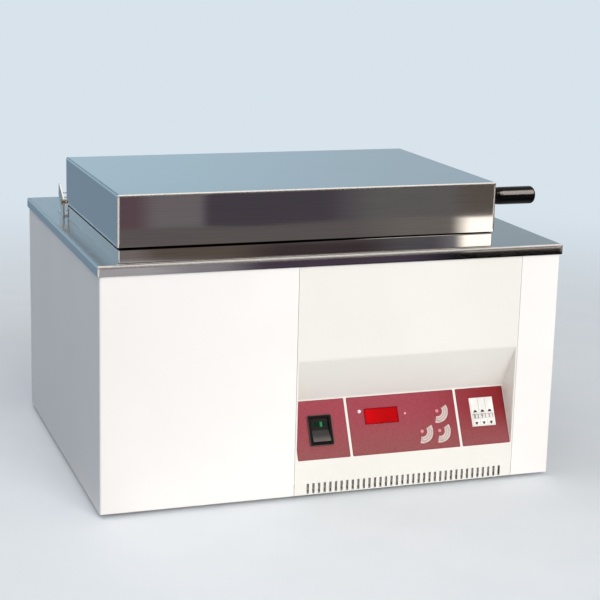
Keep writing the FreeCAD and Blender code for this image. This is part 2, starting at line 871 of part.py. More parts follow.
def rocker_surface(distance):
    """Height of the rocker's dished face at a distance from its middle."""
    return rocker_dip + (rocker_rise - rocker_dip) * abs(distance) / rocker_half_height


def tilt_rocker(shape):
    """Tilt a rocker piece to its rest position about the trunnions."""
    pivot = Vector(0, switch_place[1], rocker_pivot_depth)
    tilted = shape.copy()
    tilted.rotate(pivot, Vector(1, 0, 0), -rocker_rest_tilt)
    return on_panel(tilted)


def lens_outline(low, high):
    """Outline of the lens in the rocker's upper half, between two depths below and above the face."""
    start = lens_from_middle
    end = lens_from_middle + lens_height
    middle = switch_place[1]
    return [(middle + start, rocker_surface(start) + low), (middle + end, rocker_surface(end) + low),
            (middle + end, rocker_surface(end) + high), (middle + start, rocker_surface(start) + high)]


def make_rocker():
    """Rocker with a dished face, a narrower body, trunnions and a pocket for the lens."""
    middle = switch_place[1]
    half = switch_opening[0] / 2 - rocker_side_play
    x0 = panel_x(switch_place[0]) - half
    x1 = panel_x(switch_place[0]) + half
    outline = [(middle - rocker_half_height, rocker_rise), (middle, rocker_dip),
               (middle + rocker_half_height, rocker_rise), (middle + rocker_half_height, rocker_pivot_depth),
               (middle + rocker_body_half, rocker_body_depth), (middle - rocker_body_half, rocker_body_depth),
               (middle - rocker_half_height, rocker_pivot_depth)]
    rocker = side_plate(outline, x0, x1)
    for start, way in ((x0, -1), (x1, 1)):
        seat = (start, middle, rocker_pivot_depth)
        rocker = rocker.fuse(rod(seat, (way, 0, 0), trunnion_radius, trunnion_length))
    pocket_x = panel_x(switch_place[0])
    pocket = side_plate(lens_outline(-lens_depth, rocker_rise),
                        pocket_x - lens_width / 2, pocket_x + lens_width / 2)
    return tilt_rocker(rocker.cut(pocket))


def make_rocker_lens():
    """Green lens seated in the rocker's pocket."""
    middle = panel_x(switch_place[0])
    lens = side_plate(lens_outline(-lens_depth, lens_proud), middle - lens_width / 2, middle + lens_width / 2)
    return tilt_rocker(lens)


def make_display_window():
    """Red filter window seated on the fascia inside the foil's cut-out."""
    return on_panel(panel_block(window_place, window_width, window_height, 0, window_thickness, window_round))


def make_display_module():
    """Display block that stands on the controller board behind the window."""
    return on_panel(panel_block(window_place, display_width, display_height, board_depth, display_face))


def make_lamp(place, radius):
    """Round lamp with a domed end, standing on the controller board."""
    foot = panel_rod(place, radius + lamp_foot, board_depth, board_depth + lamp_foot)
    stem = panel_rod(place, radius, board_depth, lamp_rise)
    dome = Part.makeSphere(radius, Vector(panel_x(place[0]), place[1], lamp_rise))
    dome = dome.common(panel_block(place, 4 * radius, 4 * radius, lamp_rise - lamp_foot, far))
    return on_panel(foot.fuse(stem).fuse(dome).removeSplitter())


def make_key(place):
    """Round key: cap with a sloped rim, retaining collar behind the panel, and stem."""
    collar = key_radius + key_play + key_collar
    key = turned([(0, key_stem_end), (key_stem_radius, key_stem_end),
                  (key_stem_radius, key_collar_top - key_collar_thickness),
                  (collar, key_collar_top - key_collar_thickness), (collar, key_collar_top),
                  (key_radius, key_collar_top), (key_radius, key_edge_rise),
                  (key_radius - key_rim, key_rise), (0, key_rise)],
                 (panel_x(place[0]), place[1], 0), (0, 0, 1))
    return on_panel(key)


def board_posts():
    """The middle of each post of the controller board, in the panel's frame."""
    x0 = panel_x(board_from_seam + board_post_inset)
    x1 = panel_x(board_from_seam + board_width - board_post_inset)
    return [(x, y) for x in (x0, x1) for y in (board_low + board_post_inset, board_high - board_post_inset)]


def make_board():
    """Controller board with the keys' switches and its larger components."""
    place = (board_from_seam + board_width / 2, (board_low + board_high) / 2)
    below = board_depth - board_sheet
    board = panel_block(place, board_width, board_high - board_low, below, board_depth)
    for key_place in key_places:
        board = board.fuse(panel_block(key_place, tact_size, tact_size,
                                       board_depth, key_stem_end - key_travel_room))
    wide, tall, deep = board_chip
    for chip_place in board_chip_places:
        board = board.fuse(panel_block(chip_place, wide, tall, below - deep, below))
    for x, y in board_posts():
        board = board.cut(rod((x, y, -far / 2), (0, 0, 1), board_screw_radius + screw_hole_play, far))
    return on_panel(board)


def make_board_screws():
    """Screws that hold the controller board on the fascia's posts."""
    seat = board_depth - board_sheet
    screws = []
    for x, y in board_posts():
        head = rod((x, y, seat), (0, 0, -1), board_screw_head_radius, board_screw_head_height)
        shank = rod((x, y, seat), (0, 0, 1), board_screw_radius, board_sheet + board_screw_grip)
        screws.append(on_panel(head.fuse(shank)))
    return Part.makeCompound(screws)


def pocket_width():
    """Width of one pocket of the pushwheel frame."""
    inside = wheel_block_width - 2 * wheel_block_rim
    return (inside - (wheel_count - 1) * wheel_divider) / wheel_count


def pocket_middle(k):
    """Middle of pocket k, measured from the fascia's left seam."""
    first = wheel_block_place[0] - wheel_block_width / 2 + wheel_block_rim + pocket_width() / 2
    return first + k * (pocket_width() + wheel_divider)


def wheel_row():
    """Height of the wheels' axle up the panel."""
    return wheel_block_place[1] + wheel_offset


def pocket_low():
    """Lower end of the pockets."""
    return wheel_block_place[1] - wheel_block_height / 2 + wheel_block_rim


def pocket_high():
    """Upper end of the pockets."""
    return wheel_block_place[1] + wheel_block_height / 2 - wheel_block_rim


def make_wheel_frame():
    """Pushwheel frame: rim, body, a pocket for each digit, window bars and axle holes."""
    top = foil_sheet + wheel_block_rise
    rim = panel_block(wheel_block_place, wheel_block_width, wheel_block_height, foil_sheet, top)
    body = panel_block(wheel_block_place, wheel_block_width - 2 * wheel_body_inset,
                       wheel_block_height - 2 * wheel_body_inset, -wheel_block_depth, foil_sheet)
    frame = rim.fuse(body)
    middle = (pocket_low() + pocket_high()) / 2
    for k in range(wheel_count):
        pocket = panel_block((pocket_middle(k), middle), pocket_width(), pocket_high() - pocket_low(),
                             -wheel_pocket_depth, top + past)
        frame = frame.cut(pocket)
        for side in (-1, 1):
            row = wheel_row() + side * (window_half + window_bar / 2)
            frame = frame.fuse(panel_block((pocket_middle(k), row), pocket_width(), window_bar,
                                           top - bar_thickness, top))
    hole = rod((panel_x(wheel_block_place[0]) - wheel_block_width, wheel_row(), wheel_axle_depth), (1, 0, 0),
               axle_radius + axle_play / 2, 2 * wheel_block_width)
    return on_panel(frame.cut(hole).removeSplitter())


def make_axle():
    """Axle of the digit wheels, seated in the frame's walls."""
    half = wheel_block_width / 2 - wheel_body_inset
    start = (panel_x(wheel_block_place[0]) - half, wheel_row(), wheel_axle_depth)
    return on_panel(rod(start, (1, 0, 0), axle_radius, 2 * half))


def make_digit_wheel(k):
    """Ten-sided digit wheel with a bore that runs on the axle."""
    width = pocket_width() - 2 * wheel_side_play
    x0 = panel_x(pocket_middle(k)) - width / 2
    step = 2 * math.pi / wheel_sides
    points = [(wheel_row() + wheel_radius * math.sin((j + 0.5) * step),
               wheel_axle_depth + wheel_radius * math.cos((j + 0.5) * step)) for j in range(wheel_sides)]
    wheel = side_plate(points, x0, x0 + width)
    bore = rod((x0 - past, wheel_row(), wheel_axle_depth), (1, 0, 0),
               axle_radius + axle_play, width + 2 * past)
    return on_panel(wheel.cut(bore))


def make_button(k, side):
    """Push button above (+1) or below (-1) a digit window: a cap with a leg down its pocket."""
    near = wheel_row() + side * (window_half + window_bar + button_play)
    end = (pocket_high() if side > 0 else pocket_low()) - side * button_play
    leg_from = wheel_row() + side * (wheel_radius + button_leg_play)
    top = foil_sheet + wheel_block_rise + button_rise
    width = pocket_width() - 2 * button_play
    cap = panel_block((pocket_middle(k), (near + end) / 2), width, abs(end - near), top - button_cap, top)
    leg = panel_block((pocket_middle(k), (leg_from + end) / 2), width, abs(end - leg_from), button_leg_depth,
                      top - past)
    return on_panel(cap.fuse(leg).removeSplitter())


def make_lid():
    """Lid: folded and welded shell, open below, with an inward hem all round."""
    outer = box(lid_x0, lid_x1, lid_y0, lid_y1, lid_bottom, lid_top)
    outer = round_edges(outer, lid_fold, lambda along, middle: middle.z > lid_top - touch or upright(along))
    hem = lid_bottom + lid_sheet
    inner = box(lid_x0 + lid_sheet, lid_x1 - lid_sheet, lid_y0 + lid_sheet, lid_y1 - lid_sheet,
                hem, lid_top - lid_sheet)
    mouth = box(lid_x0 + lid_hem, lid_x1 - lid_hem, lid_y0 + lid_hem, lid_y1 - lid_hem,
                lid_bottom - past, hem + past)
    lid = outer.cut(inner).cut(mouth)
    lid = lid.cut(rod((lid_x1 - lid_hem, grip_y, grip_z), (1, 0, 0), stud_radius + stud_play, 2 * lid_hem))
    for side in (0, 1):
        for x, z in rivet_spots(side):
            lid = lid.cut(rod((x, lid_y1 - lid_hem, z), (0, 1, 0), rivet_radius, 2 * lid_hem))
    return lid


def make_grip():
    """Turned grip: a neck that swells to a cylinder with a rounded end, and a bore for the stud."""
    profile = [(0, 0), (grip_neck_radius, 0)]
    steps = 6
    for k in range(1, steps + 1):
        share = k / steps
        swell = share * share * (3 - 2 * share)
        radius = grip_neck_radius + (grip_radius - grip_neck_radius) * swell
        profile.append((radius, grip_neck_length * share))
    for k in range(steps + 1):
        turn = math.pi / 2 * k / steps
        profile.append((grip_radius - grip_end_round * (1 - math.cos(turn)),
                        grip_length - grip_end_round * (1 - math.sin(turn))))
    profile.append((0, grip_length))
    grip = turned(profile, (lid_x1, grip_y, grip_z), (1, 0, 0))
    return grip.cut(rod((lid_x1, grip_y, grip_z), (1, 0, 0), stud_radius + gland_play, grip_bore_depth))


def make_grip_stud():
    """Stud of the grip, through the lid's side wall."""
    start = lid_x1 - lid_sheet - stud_inside
    return rod((start, grip_y, grip_z), (1, 0, 0), stud_radius, grip_bore_depth + lid_x1 - start - past)


def make_grip_nut():
    """Washer and nut inside the lid."""
    seat = (lid_x1 - lid_sheet, grip_y, grip_z)
    nut_seat = (seat[0] - washer_height, grip_y, grip_z)
    bore = rod(seat, (-1, 0, 0), stud_radius + gland_play, stud_inside * 2)
    washer = rod(seat, (-1, 0, 0), washer_radius, washer_height).cut(bore)
    nut = hexagon(nut_seat, (-1, 0, 0), grip_nut_radius, grip_nut_height).cut(bore)
    return Part.makeCompound([washer, nut])


def hinge_spots(side):
    """The outer side of a hinge and the way towards the lid's middle: 0 is left, 1 is right."""
    if side == 0:
        return lid_x0, 1
    return lid_x1, -1


def span(start, way, near, far_end):
    """Two x values in rising order, measured inwards from a hinge's outer side."""
    ends = (start + way * near, start + way * far_end)
    return min(ends), max(ends)


def rivet_spots(side):
    """The x and z of each rivet of one lid leaf."""
    start, way = hinge_spots(side)
    return [(start + way * (leaf_from_side + x), lid_bottom + z) for x, z in rivet_places]


def make_lid_leaves():
    """Lid leaves of the two hinges: a plate on the lid's rear wall with an arm to the knuckle."""
    leaves = []
    for side in (0, 1):
        start, way = hinge_spots(side)
        x0, x1 = span(start, way, leaf_from_side, leaf_from_side + leaf_width)
        k0, k1 = span(start, way, cheek_gap - cheek_from_side, cheek_gap - cheek_from_side + knuckle_length)
        low = lid_bottom + lid_sheet
        plate = box(x0, x1, lid_y1, lid_y1 + leaf_sheet, low, lid_bottom + leaf_height)
        arm = box(k0, k1, lid_y1, hinge_y, low, low + leaf_sheet)
        knuckle = rod((k0, hinge_y, hinge_height), (1, 0, 0), knuckle_radius, knuckle_length)
        bore = rod((k0 - past, hinge_y, hinge_height), (1, 0, 0), hinge_pin_radius + hinge_play,
                   knuckle_length + 2 * past)
        leaf = plate.fuse(arm).fuse(knuckle).cut(bore)
        for x, z in rivet_spots(side):
            leaf = leaf.cut(rod((x, lid_y1 - past, z), (0, 1, 0), rivet_radius, leaf_sheet + 2 * past))
        leaves.append(leaf.removeSplitter())
    return Part.makeCompound(leaves)


def make_lid_rivets():
    """Rivets that hold the leaves on the lid."""
    rivets = []
    length = lid_sheet + leaf_sheet
    for side in (0, 1):
        for x, z in rivet_spots(side):
            shank = rod((x, lid_y1 - lid_sheet, z), (0, 1, 0), rivet_radius, length)
            head = rod((x, lid_y1 + leaf_sheet, z), (0, 1, 0), rivet_head_radius, rivet_head_height)
            tail = rod((x, lid_y1 - lid_sheet, z), (0, -1, 0), rivet_tail_radius, rivet_head_height)
            rivets.append(shank.fuse(head).fuse(tail))
    return Part.makeCompound(rivets)


def opened(y, z):
    """Where a point of the lid lies when the lid is fully open."""
    turn = math.radians(stop_angle)
    across = y - hinge_y
    up = z - hinge_height
    return (hinge_y + across * math.cos(turn) + up * math.sin(turn),
            hinge_height - across * math.sin(turn) + up * math.cos(turn))


def bracket_screw_places(side):
    """The x and y of the two screws of one deck bracket."""
    start, way = hinge_spots(side)
    x = start + way * bracket_foot / 2
    return [(x, hinge_y + screw_head_radius), (x, hinge_y + bracket_back - 2 * screw_head_radius)]


def make_deck_brackets():
    """Deck brackets of the hinges: a foot, a cheek with a pointed top, and a stop lug for the open lid."""
    brackets = []
    for side in (0, 1):
        start, way = hinge_spots(side)
        c0, c1 = span(start, way, -cheek_from_side - cheek_sheet, -cheek_from_side)
        f0, f1 = span(start, way, -cheek_from_side - cheek_sheet, bracket_foot)
        near = hinge_y - bracket_front
        tip = hinge_y + bracket_tip_back
        rise = hinge_height + bracket_tip_rise
        foot = box(f0, f1, near, hinge_y + bracket_back, deck_top, deck_top + cheek_sheet)
        seat_y0 = hinge_y + stop_lug_start
        seat_y1 = hinge_y + stop_lug_end
        wall_low = opened(lid_y1, lid_bottom)
        wall_high = opened(lid_y1, lid_top)
        fall = (wall_high[1] - wall_low[1]) / (wall_high[0] - wall_low[0])
        top0 = wall_low[1] + fall * (seat_y0 - wall_low[0]) - stop_play
        top1 = wall_low[1] + fall * (seat_y1 - wall_low[0]) - stop_play
        cheek = side_plate([(near, deck_top), (hinge_y + bracket_root, deck_top), (seat_y1, top1 - cheek_sheet),
                            (tip + bracket_tip_width, rise), (tip, rise),
                            (near, hinge_height + knuckle_radius)], c0, c1)
        l0, l1 = span(start, way, -cheek_from_side - cheek_sheet, stop_lug_width)
        lug = side_plate([(seat_y0, top0 - cheek_sheet), (seat_y1, top1 - cheek_sheet), (seat_y1, top1),
                          (seat_y0, top0)], l0, l1)
        bracket = cheek.fuse(foot).fuse(lug)
        bracket = bracket.cut(rod((c0 - past, hinge_y, hinge_height), (1, 0, 0),
                                  hinge_pin_radius + hinge_play / 2, cheek_sheet + 2 * past))
        for x, y in bracket_screw_places(side):
            bracket = bracket.cut(screw_hole((x, y, deck_top - past), (0, 0, 1), cheek_sheet + 2 * past))
        brackets.append(bracket.removeSplitter())
    return Part.makeCompound(brackets)


def make_bracket_screws():
    """Screws that hold the brackets on the deck."""
    seat = deck_top + cheek_sheet
    places = bracket_screw_places(0) + bracket_screw_places(1)
    return Part.makeCompound([screw((x, y, seat), (0, 0, -1), screw_length) for x, y in places])


def make_hinge_pins():
    """Hinge pins: a head outside the cheek and an upset tail past the knuckle."""
    pins = []
    for side in (0, 1):
        start, way = hinge_spots(side)
        outside = -cheek_from_side - cheek_sheet
        shank = cheek_sheet + cheek_gap + knuckle_length + pin_end_play
        pins.append(turned([(0, -pin_head_height), (pin_head_radius, -pin_head_height), (pin_head_radius, 0),
                            (hinge_pin_radius, 0), (hinge_pin_radius, shank), (pin_tail_radius, shank),
                            (pin_tail_radius, shank + pin_head_height), (0, shank + pin_head_height)],
                           (start + way * outside, hinge_y, hinge_height), (way, 0, 0)))
    return Part.makeCompound(pins)


def make_heater():
    """Tubular heater: one loop over the tank's floor, with both ends through the right wall."""
    y0, y1 = heater_leg_rows()
    z = tank_floor + heater_above_floor
    x0 = tank_x0 + heater_from_wall
    x1 = tank_x1 + heater_outside
    bend = heater_bend
    diagonal = bend * (1 - math.sqrt(0.5))
    edges = [Part.LineSegment(Vector(x1, y0, z), Vector(x0 + bend, y0, z)).toShape(),
             Part.Arc(Vector(x0 + bend, y0, z), Vector(x0 + diagonal, y0 + diagonal, z),
                      Vector(x0, y0 + bend, z)).toShape(),
             Part.LineSegment(Vector(x0, y0 + bend, z), Vector(x0, y1 - bend, z)).toShape(),
             Part.Arc(Vector(x0, y1 - bend, z), Vector(x0 + diagonal, y1 - diagonal, z),
                      Vector(x0 + bend, y1, z)).toShape(),
             Part.LineSegment(Vector(x0 + bend, y1, z), Vector(x1, y1, z)).toShape()]
    ring = Part.Wire(Part.makeCircle(heater_radius, Vector(x1, y0, z), Vector(-1, 0, 0)))
    heater = Part.Wire(edges).makePipeShell([ring], True, False)
    for y in (y0, y1):
        heater = heater.fuse(rod((x1, y, z), (1, 0, 0), heater_pin_radius, heater_pin_length))
    return heater


def make_gland(y, z, radius):
    """One gland: collar inside the tank, barrel through its wall, and nut outside."""
    barrel = radius + gland_barrel
    collar = radius + gland_collar
    inside = rod((tank_x1 - gland_collar_height, y, z), (1, 0, 0), collar, gland_collar_height)
    through = rod((tank_x1, y, z), (1, 0, 0), barrel, tank_sheet)
    nut = hexagon((tank_x1 + tank_sheet, y, z), (1, 0, 0), collar, gland_nut_height)
    bore = rod((tank_x1 - heater_outside, y, z), (1, 0, 0), radius + gland_play, 2 * heater_outside)
    return inside.fuse(through).fuse(nut).cut(bore)


def make_heater_glands():
    """The heater's two glands."""
    z = tank_floor + heater_above_floor
    return Part.makeCompound([make_gland(y, z, heater_radius) for y in heater_leg_rows()])


def make_probe_glands():
    """The probes' two glands."""
    z = tank_floor + probe_above_floor
    return Part.makeCompound([make_gland(y, z, probe_radius) for y in probe_rows()])


def make_probe(y):
    """One probe: a closed tube with a rounded end inside the tank."""
    z = tank_floor + probe_above_floor
    tip = tank_x1 - probe_reach
    tube = rod((tip, y, z), (1, 0, 0), probe_radius, probe_reach + probe_outside)
    return tube.fuse(Part.makeSphere(probe_radius, Vector(tip, y, z))).removeSplitter()


def make_tray():
    """Perforated tray over the heater, standing on two folded sides."""
    x0 = tank_x0 + tray_end_margin
    x1 = tank_x1 - tray_end_margin
    y0 = tank_y0 + tray_side_margin
    y1 = tank_y1 - tray_side_margin
    top = tank_floor + tray_above_floor
    tray = box(x0, x1, y0, y1, tank_floor, top)
    tray = round_edges(tray, tray_fold, lambda along, middle: crosswise(along) and middle.z > top - touch)
    tray = tray.cut(box(x0 - past, x1 + past, y0 + tray_sheet, y1 - tray_sheet, 0, top - tray_sheet))
    for column in range(tray_columns):
        for row in range(tray_rows):
            x = (x0 + x1) / 2 + (column - (tray_columns - 1) / 2) * tray_pitch_x
            y = (y0 + y1) / 2 + (row - (tray_rows - 1) / 2) * tray_pitch_y
            tray = tray.cut(rod((x, y, top - 2 * tray_sheet), (0, 0, 1), tray_hole_radius, 3 * tray_sheet))
    return tray


def drain_place():
    """The x and y of the drain in the tank's floor."""
    return left + drain_from_left, tank_y1 - drain_from_tank_rear


def drain_run(radius, start_z, end_y):
    """A round bar that follows the drain's way: down, round a bend, and out to the rear."""
    x, y = drain_place()
    bend = drain_bend
    z = drain_outlet_height
    low = z + bend
    half = bend * (1 - math.sqrt(0.5))
    edges = [Part.LineSegment(Vector(x, y, start_z), Vector(x, y, low)).toShape(),
             Part.Arc(Vector(x, y, low), Vector(x, y + half, z + half), Vector(x, y + bend, z)).toShape(),
             Part.LineSegment(Vector(x, y + bend, z), Vector(x, end_y, z)).toShape()]
    ring = Part.Wire(Part.makeCircle(radius, Vector(x, y, start_z), Vector(0, 0, -1)))
    return Part.Wire(edges).makePipeShell([ring], True, False)


def make_drain_pipe():
    """Drain pipe with a flange on the tank's floor and an elbow to the rear panel."""
    x, y = drain_place()
    end = house_y1 - casing_sheet + drain_proud
    top = tank_floor + drain_flange_height
    pipe = drain_run(drain_radius, tank_floor, end)
    pipe = pipe.fuse(rod((x, y, tank_floor), (0, 0, 1), drain_radius + drain_flange, drain_flange_height))
    return pipe.cut(drain_run(drain_bore, top + past, end + past))


def make_drain_locknut():
    """Locknut of the drain pipe against the rear panel."""
    x, y = drain_place()
    seat = (x, house_y1 - casing_sheet, drain_outlet_height)
    nut = hexagon(seat, (0, 1, 0), locknut_radius, drain_proud)
    return nut.cut(rod(seat, (0, 1, 0), drain_radius + gland_play, drain_proud))


def make_drain_plug():
    """Plug in the drain pipe's mouth, with a six-sided key recess."""
    x, y = drain_place()
    end = house_y1 - casing_sheet + drain_proud
    plug = rod((x, end, drain_outlet_height), (0, -1, 0), drain_bore - plug_play, plug_length)
    return plug.cut(hexagon((x, end, drain_outlet_height), (0, -1, 0), plug_key_radius, plug_key_depth))


def make_inlet():
    """Mains inlet: flange outside, body through the rear panel, hollow mouth and three pins."""
    face = house_y1 - casing_sheet
    outside = face + inlet_flange
    x = left + inlet_from_left
    z = inlet_height

    def block(width, tall, y0, y1):
        return box(x - width / 2, x + width / 2, y0, y1, z - tall / 2, z + tall / 2)

    flange = block(inlet_width, inlet_tall, face, outside)
    flange = round_edges(flange, inlet_flange_round, lambda along, middle: endwise(along))
    inlet = flange.fuse(block(inlet_body_width, inlet_body_tall, face - inlet_body_depth, face))
    inlet = inlet.cut(block(inlet_mouth_width, inlet_mouth_tall, outside - inlet_mouth_depth, outside))
    wide, thick, long = inlet_pin
    floor = outside - inlet_mouth_depth
    for across, up in inlet_pin_offsets:
        inlet = inlet.fuse(box(x + across - thick / 2, x + across + thick / 2, floor, floor + long,
                               z + up - wide / 2, z + up + wide / 2))
    for way in (-1, 1):
        inlet = inlet.cut(screw_hole((x + way * inlet_screw_spacing / 2, 0, z), (0, 1, 0), far))
    return inlet


def make_transformer():
    """Mains transformer on the base pan: foot plate, laminated core and coil."""
    x = right - transformer_from_right
    y = rear - electronics_from_rear
    wide, foot = transformer_foot
    core_x, core_y, core_z = transformer_core
    coil_x, coil_y, coil_z = transformer_coil
    base = box(x - wide / 2, x + wide / 2, y - core_y / 2, y + core_y / 2, pan_top, pan_top + foot)
    core = box(x - core_x / 2, x + core_x / 2, y - core_y / 2, y + core_y / 2,
               pan_top + foot, pan_top + core_z)
    middle = pan_top + core_z / 2
    coil = box(x - coil_x / 2, x + coil_x / 2, y - coil_y / 2, y + coil_y / 2,
               middle - coil_z / 2, middle + coil_z / 2)
    return base.fuse(core).fuse(coil).removeSplitter()


def make_heat_sink():
    """Finned heat sink of the power switch, on the base pan."""
    x = left + sink_from_left
    y = rear - electronics_from_rear
    wide, long, thick = sink_base
    sink = box(x - wide / 2, x + wide / 2, y - long / 2, y + long / 2, pan_top, pan_top + thick)
    pitch = (wide - sink_fin_sheet) / (sink_fins - 1)
    for k in range(sink_fins):
        fin = x - wide / 2 + k * pitch
        sink = sink.fuse(box(fin, fin + sink_fin_sheet, y - long / 2, y + long / 2,
                             pan_top + thick, pan_top + thick + sink_fin_height))
    return sink.removeSplitter()


def make_seam_screws():
    """Screws that join the fascia's end walls to the casings' seam flanges."""
    y = house_y0 + seam_screw_inset
    screws = []
    for z in seam_screw_heights:
        screws.append(screw((fascia_x0 - seam_gap / 2 - casing_sheet, y, z), (1, 0, 0), screw_length))
        screws.append(screw((fascia_x1 + seam_gap / 2 + casing_sheet, y, z), (-1, 0, 0), screw_length))
    return Part.makeCompound(screws)


def build():
    """Every piece by its name."""
    parts = {
        "deck": make_deck(),
        "deck_nuts": make_deck_nuts(),
        "tank": make_tank(),
        "insulation": make_insulation(),
        "left_casing": casing(-1),
        "right_casing": casing(1),
        "rear_panel": make_rear_panel(),
        "casing_screws": make_casing_screws(),
        "base_pan": make_base_pan(),
        "feet": make_feet(),
        "foot_screws": make_foot_screws(),
        "control_fascia": make_fascia(),
        "seam_screws": make_seam_screws(),
        "switch_foil": make_switch_foil(),
        "display_foil": make_display_foil(),
        "limit_foil": make_limit_foil(),
        "switch_frame": make_switch_frame(),
        "power_rocker": make_rocker(),
        "rocker_lens": make_rocker_lens(),
        "display_window": make_display_window(),
        "display_module": make_display_module(),
        "heating_lamp": make_lamp(heating_lamp_place, heating_lamp_radius),
        "limit_lamp": make_lamp(limit_lamp_place, limit_lamp_radius),
        "pushwheel_frame": make_wheel_frame(),
        "pushwheel_axle": make_axle(),
        "controller_board": make_board(),
        "board_screws": make_board_screws(),
        "transformer": make_transformer(),
        "heat_sink": make_heat_sink(),
        "mains_inlet": make_inlet(),
        "heater": make_heater(),
        "heater_glands": make_heater_glands(),
        "temperature_probe": make_probe(probe_rows()[0]),
        "limit_probe": make_probe(probe_rows()[1]),
        "probe_glands": make_probe_glands(),
        "perforated_tray": make_tray(),
        "drain_pipe": make_drain_pipe(),
        "drain_locknut": make_drain_locknut(),
        "drain_plug": make_drain_plug(),
        "lid_shell": make_lid(),
        "lid_grip": make_grip(),
        "grip_stud": make_grip_stud(),
        "grip_nut": make_grip_nut(),
        "hinge_leaves": make_lid_leaves(),
        "hinge_rivets": make_lid_rivets(),
        "hinge_brackets": make_deck_brackets(),
        "bracket_screws": make_bracket_screws(),
        "hinge_pins": make_hinge_pins(),
    }
    for k, place in enumerate(key_places):
        parts["key_%d" % (k + 1)] = make_key(place)
    for k in range(wheel_count):
        parts["digit_wheel_%d" % (k + 1)] = make_digit_wheel(k)
        parts["plus_button_%d" % (k + 1)] = make_button(k, 1)
        parts["minus_button_%d" % (k + 1)] = make_button(k, -1)
    return parts


os.makedirs("parts", exist_ok=True)
for name, shape in build().items():
    shape.exportStep("parts/%s.step" % name)
    print("%-20s solids %d valid %s volume %.1f" % (name, len(shape.Solids), shape.isValid(), shape.Volume))
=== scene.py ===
import bmesh
import bpy
import math
from mathutils import Matrix, Vector


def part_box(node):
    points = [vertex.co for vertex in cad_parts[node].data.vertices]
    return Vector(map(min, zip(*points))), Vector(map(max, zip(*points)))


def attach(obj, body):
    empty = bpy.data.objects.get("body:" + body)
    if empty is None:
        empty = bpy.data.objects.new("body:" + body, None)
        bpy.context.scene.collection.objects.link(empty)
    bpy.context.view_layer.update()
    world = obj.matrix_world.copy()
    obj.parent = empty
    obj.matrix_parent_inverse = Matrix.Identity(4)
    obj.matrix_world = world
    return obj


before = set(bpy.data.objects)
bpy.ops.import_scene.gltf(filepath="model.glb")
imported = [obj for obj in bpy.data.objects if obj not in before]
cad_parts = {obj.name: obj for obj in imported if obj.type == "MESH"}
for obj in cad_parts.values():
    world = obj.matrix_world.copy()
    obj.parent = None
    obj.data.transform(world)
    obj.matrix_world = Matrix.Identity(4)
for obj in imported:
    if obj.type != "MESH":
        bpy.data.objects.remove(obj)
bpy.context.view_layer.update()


# The studio. The bath stands on a pale bench top under soft light, seen from its left front.
# The metal mirrors a blue-grey wall behind the bench, a bright ceiling, and a dark floor in
# front with a few paler cloths on it.
class Level:
    """A value that changes over a surface. Arithmetic on it adds Math nodes."""

    def __init__(self, recipe, socket):
        self.recipe = recipe
        self.socket = socket

    def worked(self, operation, first, second=0.0):
        """The outcome of one Math node."""
        return self.recipe.node("Math", {"operation": operation}, {0: first, 1: second})

    def __add__(self, other):
        return self.worked("ADD", self, other)

    def __sub__(self, other):
        return self.worked("SUBTRACT", self, other)

    def __rsub__(self, other):
        return self.worked("SUBTRACT", other, self)

    def __mul__(self, other):
        return self.worked("MULTIPLY", self, other)

    def __truediv__(self, other):
        return self.worked("DIVIDE", self, other)

    def __pow__(self, other):
        return self.worked("POWER", self, other)

    def __abs__(self):
        return self.worked("ABSOLUTE", self)

    def __gt__(self, other):
        return self.worked("GREATER_THAN", self, other)

    def __lt__(self, other):
        return self.worked("LESS_THAN", self, other)

    __radd__ = __add__
    __rmul__ = __mul__

    def least(self, other):
        """The lower one of two values."""
        return self.worked("MINIMUM", self, other)

    def ramp(self, start, end):
        """Nought at start and one at end, with a soft rise between."""
        return self.recipe.node("MapRange", {"interpolation_type": "SMOOTHSTEP"},
                                {"Value": self, "From Min": start, "From Max": end})


class Recipe:
    """The nodes of one material, or of the surroundings."""

    def __init__(self, owner):
        owner.use_nodes = True
        self.tree = owner.node_tree

    def node(self, kind, settings, inputs, output=0):
        """A node of any kind: its settings first, then the values or links of its sockets."""
        made = self.tree.nodes.new("ShaderNode" + kind)
        for name, value in settings.items():
            setattr(made, name, value)
        for name, value in inputs.items():
            self.feed(made, name, value)
        return Level(self, made.outputs[output])

    def feed(self, node, name, value):
        """Link a varying value to a socket, or set a constant on it."""
        if isinstance(value, Level):
            self.tree.links.new(value.socket, node.inputs[name])
        else:
            node.inputs[name].default_value = value

    def blend(self, share, first, second):
        """One colour turning into another."""
        return self.node("Mix", {"data_type": "RGBA"}, {0: share, 6: first, 7: second}, 2)

    def place(self):
        """Where a point lies on the piece, in metres."""
        return self.node("TexCoord", {}, {}, "Object")

    def parts(self, point):
        """The parts of a point or a direction along x, y and z."""
        return [self.node("SeparateXYZ", {}, {0: point}, k) for k in range(3)]

    def cloud(self, point, stretch, detail=2.0):
        """Soft noise. The stretch says how many blotches fit in a metre, along all three axes or
        along each."""
        if isinstance(stretch, float):
            stretch = (stretch, stretch, stretch)
        scaled = self.node("VectorMath", {"operation": "MULTIPLY"}, {0: point, 1: stretch})
        return self.node("TexNoise", {}, {"Vector": scaled, "Scale": 1.0, "Detail": detail})

    def relief(self, height, depth):
        """A surface raised and sunk by up to a depth in metres."""
        return self.node("Bump", {}, {"Height": height, "Distance": depth})


def tint(red, green, blue):
    """A display colour, 0 to 255, as the amount of light that it stands for."""
    shares = [part / 255 for part in (red, green, blue)]
    return (*[s / 12.92 if s <= 0.04045 else ((s + 0.055) / 1.055) ** 2.4 for s in shares], 1.0)


